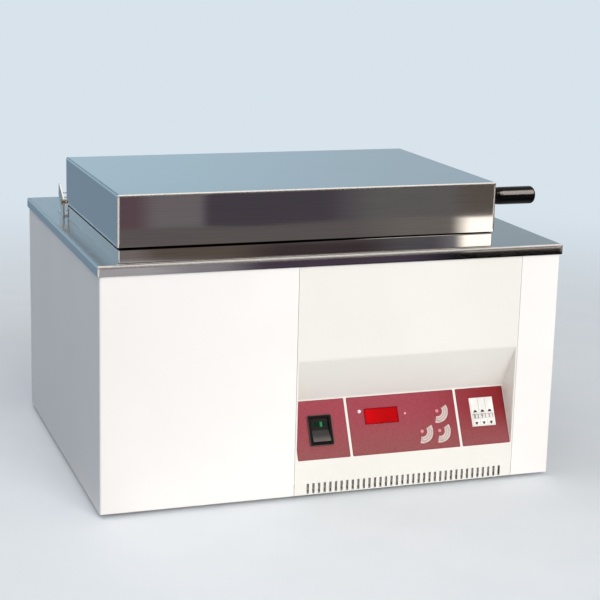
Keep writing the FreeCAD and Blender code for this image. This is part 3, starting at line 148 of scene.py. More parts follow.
wall_left = tint(174, 200, 216)
wall_right = tint(161, 180, 192)
wall_top_left = tint(122, 147, 166)
wall_top_right = tint(126, 140, 150)
ceiling = (1.25, 1.19, 1.12, 1.0)
dark_front = tint(84, 76, 74)
rear_floor_near = tint(110, 135, 157)
rear_floor_far = tint(154, 178, 197)
side_floor = tint(250, 243, 236)
right_floor = tint(92, 87, 86)
left_floor = tint(122, 143, 160)
bounce_floor = tint(118, 136, 156)
cream = (1.56, 1.42, 1.28, 1.0)
backdrop = tint(216, 227, 236)
bench_top = tint(230, 236, 241)
bench_cloud = tint(233, 238, 243)
front_fill = (0.80, 0.785, 0.76, 1.0)
rear_fill = (0.10, 0.115, 0.14, 1.0)
wall_turn = (0.15, 0.5)
wall_shade = (0.16, 0.22)
wall_start = (-0.25, 0.1)
ceiling_start = (0.3, 0.6)
ceiling_end = (-0.60, -0.73)
fill_turn = (-0.8, 0.7)


def make_surroundings():
    """Soft even light for the pieces, a plain backdrop for the eye, and a room for the metal."""
    world = bpy.data.worlds.new("studio")
    bpy.context.scene.world = world
    recipe = Recipe(world)
    way = recipe.node("TexCoord", {}, {}, "Generated")
    right, ahead, up = recipe.parts(way)
    lower_wall = recipe.blend(right.ramp(*wall_turn), wall_left, wall_right)
    upper_wall = recipe.blend(right.ramp(*wall_turn), wall_top_left, wall_top_right)
    rear_wall = recipe.blend(up.ramp(*wall_shade), lower_wall, upper_wall)
    walls = recipe.blend(ahead.ramp(*wall_start), dark_front, rear_wall)
    overhead = up.ramp(*ceiling_start) * (1.0 - ahead.ramp(*ceiling_end))
    room = recipe.blend(overhead, walls, ceiling)
    fill = recipe.blend(ahead.ramp(*fill_turn), front_fill, rear_fill)
    eye = recipe.node("LightPath", {}, {}, "Is Camera Ray")
    gloss = recipe.node("LightPath", {}, {}, "Is Glossy Ray")
    through = recipe.node("LightPath", {}, {}, "Is Transmission Ray")
    colour = recipe.blend(gloss, fill, room)
    colour = recipe.blend((eye + through).least(1.0), colour, backdrop)
    recipe.feed(recipe.tree.nodes["Background"], "Color", colour)


# What the metal sees on the floor in front: cloths in rows from near to far, which fan out from
# a point behind the bath. Each row gives where it starts, its first colour and then, from left
# to right, where the next one begins to show, where it is full, and its colour.
fan_point = (-0.7153, 1.598)
row_softness = 0.004
rows_from = (-0.75, -0.45)
rear_floor_span = (1.4, 3.0)
side_floor_span = (0.5, -0.3)
beside_span = (-1.0, -0.8)
right_of_bath = (0.31, 0.36)
left_of_bath = (-0.30, -0.34)
left_floor_end = (-1.2, -0.9)
bounce_across = (-0.45, -0.2)
bounce_along = (0.0, -0.3)
haze_span = (0.6, 2.2)
bench_reach = 12.0
front_rows = (
    (-1.10, tint(173, 170, 174), ((0.245, 0.290, tint(139, 135, 140)), (0.290, 0.335, tint(74, 64, 78)),
                                  (0.430, 0.490, tint(6, 5, 6)))),
    (-1.722, tint(119, 110, 108), ((0.238, 0.260, tint(92, 82, 74)), (0.300, 0.350, tint(64, 54, 56)),
                                   (0.400, 0.440, tint(85, 82, 86)), (0.455, 0.480, tint(121, 117, 123)),
                                   (0.474, 0.486, cream))),
    (-1.885, tint(98, 93, 92), ((0.390, 0.440, tint(113, 107, 103)), (0.470, 0.490, cream))),
    (-2.115, tint(96, 78, 84), ((0.240, 0.258, tint(112, 106, 110)), (0.284, 0.294, tint(74, 67, 76)),
                                 (0.370, 0.420, tint(100, 98, 98)), (0.465, 0.490, tint(94, 86, 81)))),
)


def make_bench():
    """The bench top, which the metal sees as a dark floor with cloths on it."""
    material = bpy.data.materials.new("bench_top")
    recipe = Recipe(material)
    point = recipe.place()
    x, y, _ = recipe.parts(point)
    shader = recipe.tree.nodes["Principled BSDF"]
    eye = recipe.node("LightPath", {}, {}, "Is Camera Ray")
    gloss = recipe.node("LightPath", {}, {}, "Is Glossy Ray")
    cloudy = recipe.cloud(point, 9.0).ramp(0.3, 0.7)
    top = recipe.blend(cloudy, bench_top, bench_cloud)
    bouncing = recipe.blend(x.ramp(*bounce_across) * y.ramp(*bounce_along), bounce_floor, bench_top)
    recipe.feed(shader, "Base Color", recipe.blend(eye, bouncing, top))
    recipe.feed(shader, "Roughness", 0.7)
    mirrored = recipe.blend(y.ramp(*rear_floor_span), rear_floor_near, rear_floor_far)
    mirrored = recipe.blend(y.ramp(*side_floor_span), mirrored, side_floor)
    beside = y.ramp(*beside_span)
    mirrored = recipe.blend(x.ramp(*right_of_bath) * beside, mirrored, right_floor)
    at_left = x.ramp(*left_of_bath) * x.ramp(*left_floor_end) * beside
    mirrored = recipe.blend(at_left, mirrored, left_floor)
    bearing = (x - fan_point[0]) / (fan_point[1] - y)
    for near_edge, colour, stripes in front_rows:
        for begins, full, following in stripes:
            colour = recipe.blend(bearing.ramp(begins, full), colour, following)
        reached = y.ramp(near_edge + row_softness, near_edge - row_softness)
        mirrored = recipe.blend(reached * x.ramp(*rows_from), mirrored, colour)
    glow = recipe.node("Emission", {}, {"Color": mirrored, "Strength": 1.0})
    haze = recipe.node("Emission", {}, {"Color": backdrop, "Strength": 1.0})
    distant = ((x * x + y * y) ** 0.5).ramp(*haze_span)
    plain = Level(recipe, shader.outputs[0])
    seen = recipe.node("MixShader", {}, {0: eye * distant, 1: plain, 2: haze})
    mixed = recipe.node("MixShader", {}, {0: gloss, 1: seen, 2: glow})
    recipe.feed(recipe.tree.nodes["Material Output"], "Surface", mixed)
    mesh = bpy.data.meshes.new("bench")
    ends = (-bench_reach, bench_reach)
    corners = [(across, along, 0) for along in ends for across in ends]
    mesh.from_pydata(corners, [], [(0, 1, 3, 2)])
    mesh.materials.append(material)
    bench = bpy.data.objects.new("bench", mesh)
    bpy.context.collection.objects.link(bench)


def make_lamp(name, place, target, size, power, colour, mirrored=False):
    """One soft square lamp that faces a point."""
    light = bpy.data.lights.new(name, "AREA")
    light.size = size
    light.energy = power
    light.color = colour
    lamp = bpy.data.objects.new(name, light)
    lamp.location = place
    lamp.rotation_euler = (Vector(target) - Vector(place)).to_track_quat("-Z", "Y").to_euler()
    lamp.visible_glossy = mirrored
    bpy.context.collection.objects.link(lamp)
    return lamp


def make_camera():
    """The camera at the left front of the bath, a little above it."""
    lens = bpy.data.cameras.new("eye")
    lens.lens = 93.779
    lens.shift_x = 0.05468
    lens.shift_y = -0.03709
    camera = bpy.data.objects.new("eye", lens)
    camera.location = (-0.71526, -2.09109, 0.74228)
    camera.rotation_euler = [math.radians(turn) for turn in (77.288, -1.1837, -18.2169)]
    bpy.context.collection.objects.link(camera)
    bpy.context.scene.camera = camera


make_surroundings()
make_bench()
make_lamp("key_light", place=(0.4, -3.4, 2.0), target=(0, 0, 0.2), size=2.0, power=61.0,
          colour=(1.0, 0.98, 0.96))
make_lamp("top_light", place=(-1.2, 0.5, 2.8), target=(0, 0, 0.3), size=2.4, power=27.0,
          colour=(0.96, 0.98, 1.0))
make_camera()
bpy.context.scene.view_settings.view_transform = "Standard"


# Stainless cover deck with its raised collar. One sheet of 1.5 mm chrome-nickel steel, folded
# down all round, welded and ground at the corners, and finished bright with a fine grain.
steel_light = tint(232, 231, 229)
steel_dark = tint(224, 223, 222)
# Black, rougher steel paints the shadow in the gaps under the lid.
gap_shadow_black = tint(12, 11, 12)
shadow_roughness = 0.4
satin_roughness = 0.17
bright_roughness = 0.035
long_grain = (14.0, 1100.0, 1100.0)
grain_depth_share = 0.003
sheet_ripple = 0.0003
smooth_up_to = math.radians(32)


def finish(name, colour, roughness, metallic=0.0):
    """A material with plain constants, ready for what varies over its surface."""
    material = bpy.data.materials.new(name)
    recipe = Recipe(material)
    shader = recipe.tree.nodes["Principled BSDF"]
    recipe.feed(shader, "Base Color", colour)
    recipe.feed(shader, "Roughness", roughness)
    recipe.feed(shader, "Metallic", metallic)
    return material, recipe, shader


def dress(material, *names):
    """Give carried-over pieces a material, and smooth what was rolled or turned round."""
    for name in names:
        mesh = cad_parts[name].data
        mesh.materials.clear()
        mesh.materials.append(material)
        mesh.shade_smooth()
        mesh.set_sharp_from_angle(angle=smooth_up_to)


def sheet_steel(name, roughness, grain, ripple, fold=None, painted_shadow=None, satin=None):
    """Rolled stainless sheet: fine grain, the slow ripples of a large flat sheet, soft folds of a
    radius between two heights, and a zone of painted shadow and a satin zone where they are given."""
    material, recipe, shader = finish(name, steel_light, roughness, 1.0)
    point = recipe.place()
    parts = recipe.parts(point)
    lines = recipe.cloud(point, grain, 3.0)
    waves = recipe.cloud(point, (5.0, 5.0, 7.0), 1.0)
    colour = recipe.blend(lines.ramp(0.35, 0.65), steel_dark, steel_light)
    rough = roughness + 0.5 * roughness * (lines - 0.5)
    if painted_shadow:
        zone = painted_shadow(*parts)
        colour = recipe.blend(zone, colour, gap_shadow_black)
        rough = rough + shadow_roughness * zone
    if satin:
        rough = rough + satin_roughness * satin(*parts)
    recipe.feed(shader, "Base Color", colour)
    recipe.feed(shader, "Roughness", rough)
    normal = recipe.relief(lines * grain_depth_share + waves, ripple)
    if fold:
        radius, low, high = fold
        rounded = recipe.node("Bevel", {"samples": 8}, {"Radius": radius})
        flat = recipe.node("NewGeometry", {}, {}, "Normal")
        folded = (parts[2] > low) * (parts[2] < high)
        both = recipe.node("Mix", {"data_type": "VECTOR"}, {0: folded, 4: flat, 5: rounded}, 1)
        recipe.feed(normal.socket.node, "Normal", both)
    recipe.feed(shader, "Normal", normal)
    return material


deck_low, deck_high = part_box("deck")
deck_sheet = 0.0015
deck_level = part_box("control_fascia")[1].z + deck_sheet
deck_fold = (0.0048, deck_low.z + 0.0040, deck_level + 0.0004)
deck_top_span = (deck_level - 0.0010, deck_level + 0.0003)
# The collar's upper fold is painted black as the shadow in the gap under the lid.
gap_shadow_height = 0.0015
gap_shadow_loss = 0.7
gap_shadow_thins = (-0.12, 0.10)


def collar_bead(x, y, z):
    """Painted shadow: black over the collar's upper fold, where the lid's edge shades the gap, thinner
    towards the right.
    """
    return z > deck_high.z - gap_shadow_height + gap_shadow_loss * gap_shadow_height * x.ramp(*gap_shadow_thins)


def deck_top(x, y, z):
    """The flat top of the deck round the collar, which keeps its satin mill finish."""
    return (z > deck_top_span[0]) * (z < deck_top_span[1])


deck_steel = sheet_steel("deck_steel", bright_roughness, long_grain, sheet_ripple,
                         fold=deck_fold, painted_shadow=collar_bead, satin=deck_top)
dress(deck_steel, "deck")


# Tank, perforated tray, heater and probes. The tank is deep-drawn from 1 mm stainless sheet and
# hangs by its rim on the collar; the tubes pass its right wall in turned glands.
tank_low, tank_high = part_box("tank")
# The rim's outer edge under the lid is painted black as shadow.
rim_shadow_width = 0.0035
rim_shadow_depth = 0.0022
rim_shadow_foot = tank_high.z - rim_shadow_depth


def rim_seal(x, y, z):
    """Painted shadow: black along the rim's outer edge, in the shaded gap under the lid."""
    from_edge = (x - tank_low.x).least(tank_high.x - x).least(y - tank_low.y).least(tank_high.y - y)
    return (from_edge < rim_shadow_width) * (z > rim_shadow_foot)


tank_steel = sheet_steel("tank_steel", 0.24, (60.0, 60.0, 240.0), 0.0004, painted_shadow=rim_seal)
tray_steel = sheet_steel("tray_steel", 0.30, (20.0, 900.0, 900.0), sheet_ripple)
dress(tank_steel, "tank")
dress(tray_steel, "perforated_tray")


heat_straw = tint(188, 170, 140)


def make_tube_steel(name, colour, roughness):
    """Drawn tube: fine rings round it and a faint heat tint."""
    material, recipe, shader = finish(name, colour, roughness, 1.0)
    point = recipe.place()
    rings = recipe.cloud(point, (1500.0, 60.0, 60.0))
    patches = recipe.cloud(point, 14.0)
    recipe.feed(shader, "Base Color", recipe.blend(patches.ramp(0.45, 0.75), colour, heat_straw))
    recipe.feed(shader, "Roughness", roughness + 0.12 * (rings - 0.5))
    recipe.feed(shader, "Normal", recipe.relief(rings, 0.00002))
    return material


dress(make_tube_steel("heater_tube", tint(160, 156, 150), 0.30), "heater")
dress(make_tube_steel("probe_tube", tint(196, 194, 190), 0.20), "temperature_probe", "limit_probe")
dress(make_tube_steel("gland_steel", tint(184, 184, 184), 0.26), "heater_glands", "probe_glands")


# Insulation. A jacket of pressed mineral wool round the tank's walls and floor, with ports for
# the tubes and the drain. The casings hide it.
wool_dark = tint(160, 138, 92)
wool_light = tint(206, 188, 140)


def make_wool():
    """Matted yellow-brown fibre."""
    material, recipe, shader = finish("wool", wool_light, 0.95)
    mat = recipe.cloud(recipe.place(), (260.0, 260.0, 60.0), 5.0)
    recipe.feed(shader, "Base Color", recipe.blend(mat.ramp(0.3, 0.7), wool_dark, wool_light))
    recipe.feed(shader, "Normal", recipe.relief(mat, 0.0015))
    return material


dress(make_wool(), "insulation")


# Casings, rear panel and base pan. Folded from 1.5 mm steel sheet and powder coated in a warm
# white; the two casings meet the control fascia at the front in narrow upright seams.
paint_white = tint(253, 249, 246)
paint_shade = tint(250, 246, 243)
# A dark brown paints the shade on the vents' walls.
vent_wall_shade_colour = tint(48, 38, 36)


def make_paint(name, light, shade, roughness, shaded_walls=None):
    """Powder coat: fine orange peel, a hardly seen drift of colour, and painted shade, dark, on
    the walls that it is given."""
    material, recipe, shader = finish(name, light, roughness)
    point = recipe.place()
    peel = recipe.cloud(point, 520.0)
    drift = recipe.cloud(point, 7.0)
    colour = recipe.blend(drift.ramp(0.3, 0.7), light, shade)
    if shaded_walls:
        colour = recipe.blend(shaded_walls(*recipe.parts(point)), colour, vent_wall_shade_colour)
    recipe.feed(shader, "Base Color", colour)
    recipe.feed(shader, "Roughness", roughness + 0.10 * (peel - 0.5))
    recipe.feed(shader, "Normal", recipe.relief(peel, 0.00005))
    return material


casing_paint = make_paint("casing_paint", paint_white, paint_shade, 0.42)
dress(casing_paint, "left_casing", "right_casing", "rear_panel", "base_pan")


# Control fascia. One moulding let in flush between the casings, with a hand recess under its
# upper edge, a slanted panel for the controls and a row of upright vents at its foot.
seam_gap = 0.0003
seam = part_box("control_fascia")[0].x - seam_gap
house_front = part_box("control_fascia")[0].y
fascia_white = tint(244, 241, 234)
fascia_shade = tint(241, 238, 231)
vent_foot = 0.0072
vent_head = 0.0216
skin_depth = 0.0003
fascia_wall = 0.0022


def vent_edges(x, y, z):
    """The vents' walls just behind the face, painted dark as the shade inside the slots."""
    inside = (y > house_front + skin_depth) * (y < house_front + fascia_wall)
    return inside * (z > vent_foot) * (z < vent_head)


fascia_paint = make_paint("fascia_paint", fascia_white, fascia_shade, 0.38, vent_edges)
dress(fascia_paint, "control_fascia")


# Foils of the control panel. Printed polyester films, maroon, laid in three fields between
# white gaps; the display foil carries a crescent beside each key.
panel_foot = 0.0532
panel_slope = math.radians(63.688)
foil_low = 0.0007
foil_high = 0.0798
foil_edge = 0.0009
maroon_left = tint(164, 66, 80)
maroon_right = tint(136, 14, 24)
maroon_low = tint(152, 80, 82)
maroon_edge = tint(118, 18, 34)
maroon_deepens = (0.16, 0.33)
maroon_greys = (0.06, 0.0)
ink_strength = 0.22
film_roughness = 0.30
key_rows = {"key_1": 0.0463, "key_2": 0.0203, "key_3": 0.0193}
crescent_pole = (-0.0062, 0.0058)
crescent_inside = 0.0075
crescent_outside = 0.0164
crescent_ends = (math.radians(-106), math.radians(28))
crescent_lines = (0.0103, 0.0134)
crescent_line_width = 0.0009
crescent_line_strength = 0.65
dot_radius = 0.0023
crescent_white = tint(222, 200, 194)
crescent_grey = tint(206, 188, 182)
crescent_line_grey = tint(150, 118, 116)
dot_pink = tint(226, 146, 152)


def middle_across(name):
    """How far a piece's middle lies from the left seam, and half the piece's width."""
    low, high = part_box(name)
    return (low.x + high.x) / 2 - seam, (high.x - low.x) / 2


def panel_parts(recipe):
    """A point, how far it lies from the left seam, and how far up the slanted panel."""
    point = recipe.place()
    x, y, z = recipe.parts(point)
    across = x - seam
    up = (y - house_front) * math.cos(panel_slope) + (z - panel_foot) * math.sin(panel_slope)
    return point, across, up


def foil_colour(recipe, point, across, up):
    """Maroon that deepens to the right and greys downwards, with the print's fine cloudiness."""
    ink = recipe.cloud(point, 340.0, 3.0)
    base = recipe.blend(across.ramp(*maroon_deepens), maroon_left, maroon_right)
    base = recipe.blend(up.ramp(*maroon_greys), base, maroon_low)
    return recipe.blend(ink_strength * ink.ramp(0.35, 0.7), base, maroon_edge)


def key_print(recipe, point, across, up, ground):
    """The crescent and the dot of each key, printed over a ground colour."""
    speckle = recipe.cloud(point, 900.0, 1.0)
    light = recipe.blend(speckle.ramp(0.4, 0.6), crescent_grey, crescent_white)
    first, last = crescent_ends
    for key, row in key_rows.items():
        right = across - (middle_across(key)[0] + crescent_pole[0])
        high = up - (row + crescent_pole[1])
        reach = (right * right + high * high) ** 0.5
        inside = (reach > crescent_inside) * (reach < crescent_outside)
        for radius in crescent_lines:
            line = abs(reach - radius).ramp(crescent_line_width, 0.0)
            light = recipe.blend(crescent_line_strength * line, light, crescent_line_grey)
        after = (high * math.cos(first) - right * math.sin(first)) > 0.0
        before = (right * math.sin(last) - high * math.cos(last)) > 0.0
        ground = recipe.blend(inside * after * before, ground, light)
        ground = recipe.blend(reach < dot_radius, ground, dot_pink)
    return ground


def make_foil_finish(foil, has_keys):
    """One foil: its ink, a darker cut edge, prints if it has keys, and a satin film on top."""
    material, recipe, shader = finish(foil + "_film", maroon_left, 0.34)
    point, across, up = panel_parts(recipe)
    colour = foil_colour(recipe, point, across, up)
    if has_keys:
        colour = key_print(recipe, point, across, up, colour)
    middle, half = middle_across(foil)
    beside = half - abs(across - middle)
    from_edge = beside.least(up - foil_low).least(foil_high - up)
    recipe.feed(shader, "Base Color", recipe.blend(from_edge.ramp(foil_edge, 0.0), colour, maroon_edge))
    film = recipe.cloud(point, 1400.0, 1.0)
    recipe.feed(shader, "Roughness", film_roughness + 0.12 * film)
    recipe.feed(shader, "Normal", recipe.relief(film, 0.00002))
    return material


for foil in ("switch_foil", "display_foil", "limit_foil"):
    dress(make_foil_finish(foil, foil == "display_foil"), foil)


# Keys. Three round caps, flush in the display foil and covered with the same film, so that the
# printed crescents run on over them.
def make_key_finish():
    """The foil's ink and prints, on a cap."""
    material, recipe, shader = finish("key_film", maroon_left, 0.34)
    point, across, up = panel_parts(recipe)
    colour = key_print(recipe, point, across, up, foil_colour(recipe, point, across, up))
    recipe.feed(shader, "Base Color", colour)
    film = recipe.cloud(point, 1400.0, 1.0)
    recipe.feed(shader, "Roughness", film_roughness + 0.12 * film)
    return material


dress(make_key_finish(), *key_rows)


# Power switch. A black moulded frame snapped into the panel, a rocker on two trunnions with its
# top pressed in, and a green lens in the rocker's upper half.
switch_row = 0.0391
rocker_half = 0.0160
bezel_half_height = 0.02065
bezel_round = (0.0014, 0.0003)
# The lens's pale bar and faint glow are a painted highlight, made with emission.
lens_highlight_left = 0.0418
lens_highlight_right = 0.0446
lens_highlight_edge = 0.0006
lens_green = tint(6, 40, 24)
lens_faint_glow = tint(0, 22, 12)
lens_highlight = tint(76, 158, 112)
rocker_black = tint(30, 29, 29)
# Paler grey for the rocker's lower part: wear and painted sheen.
rocker_wear_and_sheen = tint(104, 97, 92)
bezel_black = tint(14, 13, 13)
# Pale brown paints a highlight on the frame's outer edge.
bezel_highlight = tint(112, 100, 94)


def make_plastic(name, colour, roughness, depth):
    """Moulded plastic with a fine spark-eroded skin."""
    material, recipe, shader = finish(name, colour, roughness)
    point = recipe.place()
    skin = recipe.cloud(point, 2600.0)
    worn = recipe.cloud(point, 40.0)
    lighter = (*[part * 1.35 for part in colour[:3]], 1.0)
    recipe.feed(shader, "Base Color", recipe.blend(worn.ramp(0.4, 0.8), colour, lighter))
    recipe.feed(shader, "Roughness", roughness + 0.14 * (skin - 0.5))
    recipe.feed(shader, "Normal", recipe.relief(skin, depth))
    return material


def make_lens_finish():
    """Deep green lens with a painted highlight: emission makes an upright pale bar glow, and the rest of
    the lens glow faintly.
    """
    material, recipe, shader = finish("lens_green", lens_green, 0.12)
    across = panel_parts(recipe)[1]
    from_left = across.ramp(lens_highlight_left - lens_highlight_edge, lens_highlight_left)
    from_right = across.ramp(lens_highlight_right + lens_highlight_edge, lens_highlight_right)
    # Emission paints the highlight bar and the faint glow.
    glow = recipe.blend(from_left * from_right, lens_faint_glow, lens_highlight)
    recipe.feed(shader, "Emission Color", glow)
    recipe.feed(shader, "Emission Strength", 0.6)
    return material


def make_rocker_finish():
    """Black rocker, paler towards its lower edge: worn by fingers, and a painted sheen where that half
    faces up.
    """
    material, recipe, shader = finish("rocker_plastic", rocker_black, 0.3)
    point, _, up = panel_parts(recipe)
    skin = recipe.cloud(point, 700.0, 3.0)
    # The paler lower part is partly wear and partly painted sheen.
    lower_wear_and_sheen = up.ramp(switch_row - 0.35 * rocker_half, switch_row - 0.95 * rocker_half)
    worn = lower_wear_and_sheen * (0.55 + 0.45 * skin.ramp(0.3, 0.7))
    recipe.feed(shader, "Base Color", recipe.blend(worn, rocker_black, rocker_wear_and_sheen))
    recipe.feed(shader, "Roughness", 0.26 + 0.12 * skin)
    recipe.feed(shader, "Normal", recipe.relief(skin, 0.00001))
    return material


def make_bezel_finish():
    """Black frame with a painted highlight along its rounded outer edge."""
    material, recipe, shader = finish("bezel_plastic", bezel_black, 0.3)
    point, across, up = panel_parts(recipe)
    middle, half = middle_across("switch_frame")
    beside = half - abs(across - middle)
    above = bezel_half_height - abs(up - switch_row)
    skin = recipe.cloud(point, 900.0)
    # The frame's outer edge is painted paler as a highlight.
    edge = beside.least(above).ramp(*bezel_round) * (0.4 + 0.4 * skin)
    recipe.feed(shader, "Base Color", recipe.blend(edge, bezel_black, bezel_highlight))
    recipe.feed(shader, "Roughness", 0.24 + 0.10 * skin)
    return material


black_plastic = make_plastic("black_plastic", tint(22, 21, 22), 0.30, 0.00002)
dress(make_bezel_finish(), "switch_frame")
dress(make_rocker_finish(), "power_rocker")
dress(make_lens_finish(), "rocker_lens")


# Display window and lamps. A red filter seated in the foil's cut-out with the display block
# behind it, a clear lamp at its left and a small pink one at its right.
window_row = 0.0522
window_half_height = 0.0109
window_rim = (0.0022, 0.0006)
window_red = tint(156, 0, 6)
# Painted light on the display filter: a brighter red towards its left, and a glow.
window_red_painted_light = tint(184, 0, 10)
window_rim_red = tint(120, 0, 14)
window_painted_glow = tint(158, 0, 0)
window_rim_painted_glow = tint(80, 0, 6)
lamp_rim = tint(60, 30, 34)
# Each lamp's colour is also emitted, as a painted glint on its dome.
lamps = {
    "heating_lamp": ("lamp_clear", tint(236, 214, 218), 0.0598, 0.0027),
    "limit_lamp": ("lamp_pink", tint(228, 150, 152), 0.0523, 0.0019),
}


def make_window_finish():
    """Red filter, deeper at its rim, with painted light: a little brighter towards its left, and glowing
    though the display behind it is off.
    """
    material, recipe, shader = finish("window_red", window_red, 0.10)
    _, across, up = panel_parts(recipe)
    middle, half = middle_across("display_window")
    beside = half - abs(across - middle)
    above = window_half_height - abs(up - window_row)
    rim = beside.least(above).ramp(*window_rim)
    painted_light = across.ramp(middle + 0.3 * half, middle - half)
    red = recipe.blend(painted_light, window_red, window_red_painted_light)
    recipe.feed(shader, "Base Color", recipe.blend(rim, red, window_rim_red))
    # Emission paints a glow into the filter; the display behind it is off.
    recipe.feed(shader, "Emission Color", recipe.blend(rim, window_painted_glow, window_rim_painted_glow))
    recipe.feed(shader, "Emission Strength", 0.5)
    return material


def make_lamp_finish(lamp, name, colour, row, radius):
    """Frosted lamp dome with a painted glint: its emission is brighter in the middle."""
    material, recipe, shader = finish(name, colour, 0.16)
    _, across, up = panel_parts(recipe)
    right = across - middle_across(lamp)[0]
    high = up - row
    middle = ((right * right + high * high) ** 0.5).ramp(radius, 0.3 * radius)
    recipe.feed(shader, "Emission Color", recipe.blend(middle, lamp_rim, colour))
    recipe.feed(shader, "Emission Strength", 0.35)
    return material


dress(make_window_finish(), "display_window")
for lamp, looks in lamps.items():
    dress(make_lamp_finish(lamp, *looks), lamp)
dress(make_plastic("display_block", tint(60, 14, 16), 0.35, 0.00001), "display_module")


# Pushwheel. A white moulded frame holds three ten-sided wheels on one axle, with the figures
# printed on them. Above and below each wheel's window is a button with a printed arrow that
# shows which way it counts. The upper arrow is drawn wide and dark: a printed arrow and a
# painted shadow along the window's top edge.
pushwheel_row = 0.0400
pushwheel_axle_depth = -0.0082
pushwheel_sides = 10
pushwheel_radius = 0.008
pushwheel_apothem = pushwheel_radius * math.cos(math.pi / pushwheel_sides)
resting_digits = (0, 9, 5)
digit_size = 0.0056
print_lift = 0.00003
figure_boldness = 0.024
# The plus arrow is wide and dark, as it also paints the shadow under the window's upper edge.
arrow_sizes = {"plus": (0.0060, 0.0030), "minus": (0.0046, 0.0034)}
arrow_rows = {"plus": 0.0470, "minus": 0.0304}
arrow_tip_share = 0.4
button_top = 0.0023
white_plastic = make_plastic("white_plastic", tint(238, 236, 232), 0.36, 0.00002)
dress(white_plastic, "pushwheel_frame")
wheel_plastic = make_plastic("wheel_plastic", tint(228, 222, 220), 0.4, 0.00001)
arrow_print_and_shadow = make_plastic("arrow_print_and_shadow", tint(52, 40, 42), 0.5, 0.00001)
digit_print = make_plastic("digit_print", tint(84, 84, 82), 0.5, 0.00001)


def on_panel(across, up, out):
    """The place of a point given from the left seam, up the panel and out from it."""
    foot = Matrix.Translation((seam, house_front, panel_foot))
    return foot @ Matrix.Rotation(panel_slope, 4, "X") @ Matrix.Translation((across, up, out))


def new_piece(name, mesh, material, body):
    """A piece of its own that moves with a body."""
    mesh.materials.clear()
    mesh.materials.append(material)
    piece = bpy.data.objects.new(name, mesh)
    bpy.context.collection.objects.link(piece)
    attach(piece, body)


def glyph(character, size):
    """A printed figure as a thin raised mesh, centred on the origin. It is drawn large and then
    shrunk, because small outlines fill badly."""
    outline = bpy.data.curves.new("figure", "FONT")
    outline.body = character
    outline.size = 1.0
    outline.align_x = "CENTER"
    outline.align_y = "CENTER"
    outline.extrude = print_lift / 2 / size
    outline.offset = figure_boldness
    holder = bpy.data.objects.new("figure", outline)
    bpy.context.collection.objects.link(holder)
    bpy.context.view_layer.update()
    mesh = bpy.data.meshes.new_from_object(holder)
    mesh.transform(Matrix.Scale(size, 4))
    bpy.data.objects.remove(holder)
    return mesh


def gathered(name, placed):
    """One mesh from several, each carried to its place."""
    shape = bmesh.new()
    for mesh, place in placed:
        copy = mesh.copy()
        copy.transform(place)
        shape.from_mesh(copy)
        bpy.data.meshes.remove(copy)
    mesh = bpy.data.meshes.new(name)
    shape.to_mesh(mesh)
    shape.free()
    return mesh


def arrow_mesh(size, way):
    """A flat blunt arrowhead that points up or down the panel."""
    half, tall = size[0] / 2, way * size[1] / 2
    tip = arrow_tip_share * half
    face = [(-half, -tall), (half, -tall), (tip, tall), (-tip, tall)]
    low = [(x, y, 0.0) for x, y in face]
    high = [(x, y, print_lift) for x, y in face]
    mesh = bpy.data.meshes.new("arrow")
    walls = [(k, (k + 1) % 4, (k + 1) % 4 + 4, k + 4) for k in range(4)]
    mesh.from_pydata(low + high, [], [(0, 1, 2, 3), (4, 5, 6, 7)] + walls)
    shape = bmesh.new()
    shape.from_mesh(mesh)
    bmesh.ops.recalc_face_normals(shape, faces=shape.faces)
    shape.to_mesh(mesh)
    shape.free()
    return mesh


figures = [glyph(str(digit), digit_size) for digit in range(pushwheel_sides)]
lift = Matrix.Translation((0, 0, pushwheel_apothem + print_lift / 2))
for number, resting in enumerate(resting_digits, 1):
    middle = middle_across(f"digit_wheel_{number}")[0]
    placed = []
    for side in range(pushwheel_sides):
        digit = (resting + side) % pushwheel_sides
        turn = Matrix.Rotation(-side * 2 * math.pi / pushwheel_sides, 4, "X")
        place = on_panel(middle, pushwheel_row, pushwheel_axle_depth) @ turn @ lift
        placed.append((figures[digit], place))
    new_piece(f"wheel_digits_{number}", gathered("digits", placed), digit_print,
              f"digit_wheel_{number}")
    dress(wheel_plastic, f"digit_wheel_{number}")
    for kind, way in (("plus", 1), ("minus", -1)):
        arrow = arrow_mesh(arrow_sizes[kind], way)
        arrow.transform(on_panel(middle, arrow_rows[kind], button_top))
        new_piece(f"{kind}_arrow_{number}", arrow, arrow_print_and_shadow, f"{kind}_button_{number}")
        dress(white_plastic, f"{kind}_button_{number}")


# Lid. Folded and welded from 1.2 mm stainless sheet with an inward hem, and polished bright. It
# lies over the collar and swings up on the hinges along its rear edge.
lid_low, lid_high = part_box("lid_shell")
lid_fold = (0.0032, lid_low.z + 0.0036, lid_high.z + 0.0033)
lid_steel = sheet_steel("lid_steel", bright_roughness, long_grain, sheet_ripple, fold=lid_fold)
dress(lid_steel, "lid_shell")


# Hinges. Stainless leaves riveted to the lid's rear wall turn on yellow-plated pins in brackets
# that are screwed to the deck; a lug on each bracket stops the open lid.
hinge_steel = sheet_steel("hinge_steel", 0.28, (700.0, 700.0, 60.0), 0.0002)
dress(hinge_steel, "hinge_leaves", "hinge_brackets")


def make_plating(name, colour, other, roughness):
    """Zinc plate with its faint cloudy colours."""
    material, recipe, shader = finish(name, colour, roughness, 1.0)
    patches = recipe.cloud(recipe.place(), 240.0)
    recipe.feed(shader, "Base Color", recipe.blend(patches.ramp(0.35, 0.65), colour, other))
    recipe.feed(shader, "Roughness", roughness + 0.16 * (patches - 0.5))
    return material


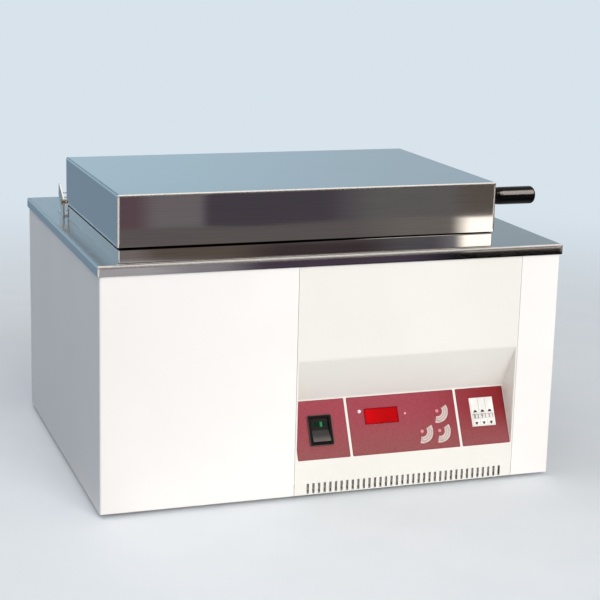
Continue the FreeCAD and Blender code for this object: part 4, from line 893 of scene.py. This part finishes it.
yellow_zinc = make_plating("yellow_zinc", tint(178, 156, 92), tint(160, 150, 118), 0.34)
bright_zinc = make_plating("bright_zinc", tint(186, 188, 190), tint(170, 174, 182), 0.32)
dress(yellow_zinc, "hinge_pins")
dress(bright_zinc, "hinge_rivets", "bracket_screws", "casing_screws", "foot_screws", "seam_screws",
      "board_screws", "deck_nuts", "grip_stud", "grip_nut", "pushwheel_axle", "drain_locknut")


# Grip. Turned from black phenolic and polished, screwed on a stud through the lid's right wall.
# A lamp of its own puts the long highlight on it and lights nothing else.
grip_middle = (0.26, -0.21, 0.39)


def make_grip_finish():
    """Black phenolic: deep gloss with the faint rings of the lathe."""
    material, recipe, shader = finish("grip_black", tint(9, 8, 9), 0.16)
    rings = recipe.cloud(recipe.place(), (900.0, 8.0, 8.0), 1.0)
    recipe.feed(shader, "Roughness", 0.14 + 0.06 * rings)
    recipe.feed(shader, "Normal", recipe.relief(rings, 0.000003))
    recipe.feed(shader, "Specular IOR Level", 0.06)
    return material


dress(make_grip_finish(), "lid_grip")
grip_lamp = make_lamp("grip_lamp", place=(1.15, -1.16, 1.38), target=grip_middle, size=1.2,
                      power=300.0, colour=(1.0, 0.9, 0.82), mirrored=True)
grip_lamp.visible_diffuse = False
grip_lamp.light_linking.receiver_collection = bpy.data.collections.new("grip_only")
grip_lamp.light_linking.receiver_collection.objects.link(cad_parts["lid_grip"])


# Rear and base. The mains inlet is a black moulding, the drain a nickel-plated brass pipe with
# a plug, and the four feet are rubber.
dress(black_plastic, "mains_inlet")
drain_nickel = make_plating("drain_nickel", tint(196, 180, 140), tint(184, 166, 122), 0.26)
dress(drain_nickel, "drain_pipe", "drain_plug")
dress(make_plastic("foot_rubber", tint(38, 38, 40), 0.75, 0.00008), "feet")


# Electronics, hidden by the housing: a varnished board screwed to posts behind the panel, and a
# laminated transformer and an extruded heat sink on the base pan.
dress(make_plastic("board_varnish", tint(24, 84, 52), 0.35, 0.00002), "controller_board")
dress(make_plastic("transformer_iron", tint(74, 66, 58), 0.55, 0.00008), "transformer")
dress(make_plating("sink_aluminium", tint(176, 178, 182), tint(160, 162, 168), 0.42), "heat_sink")
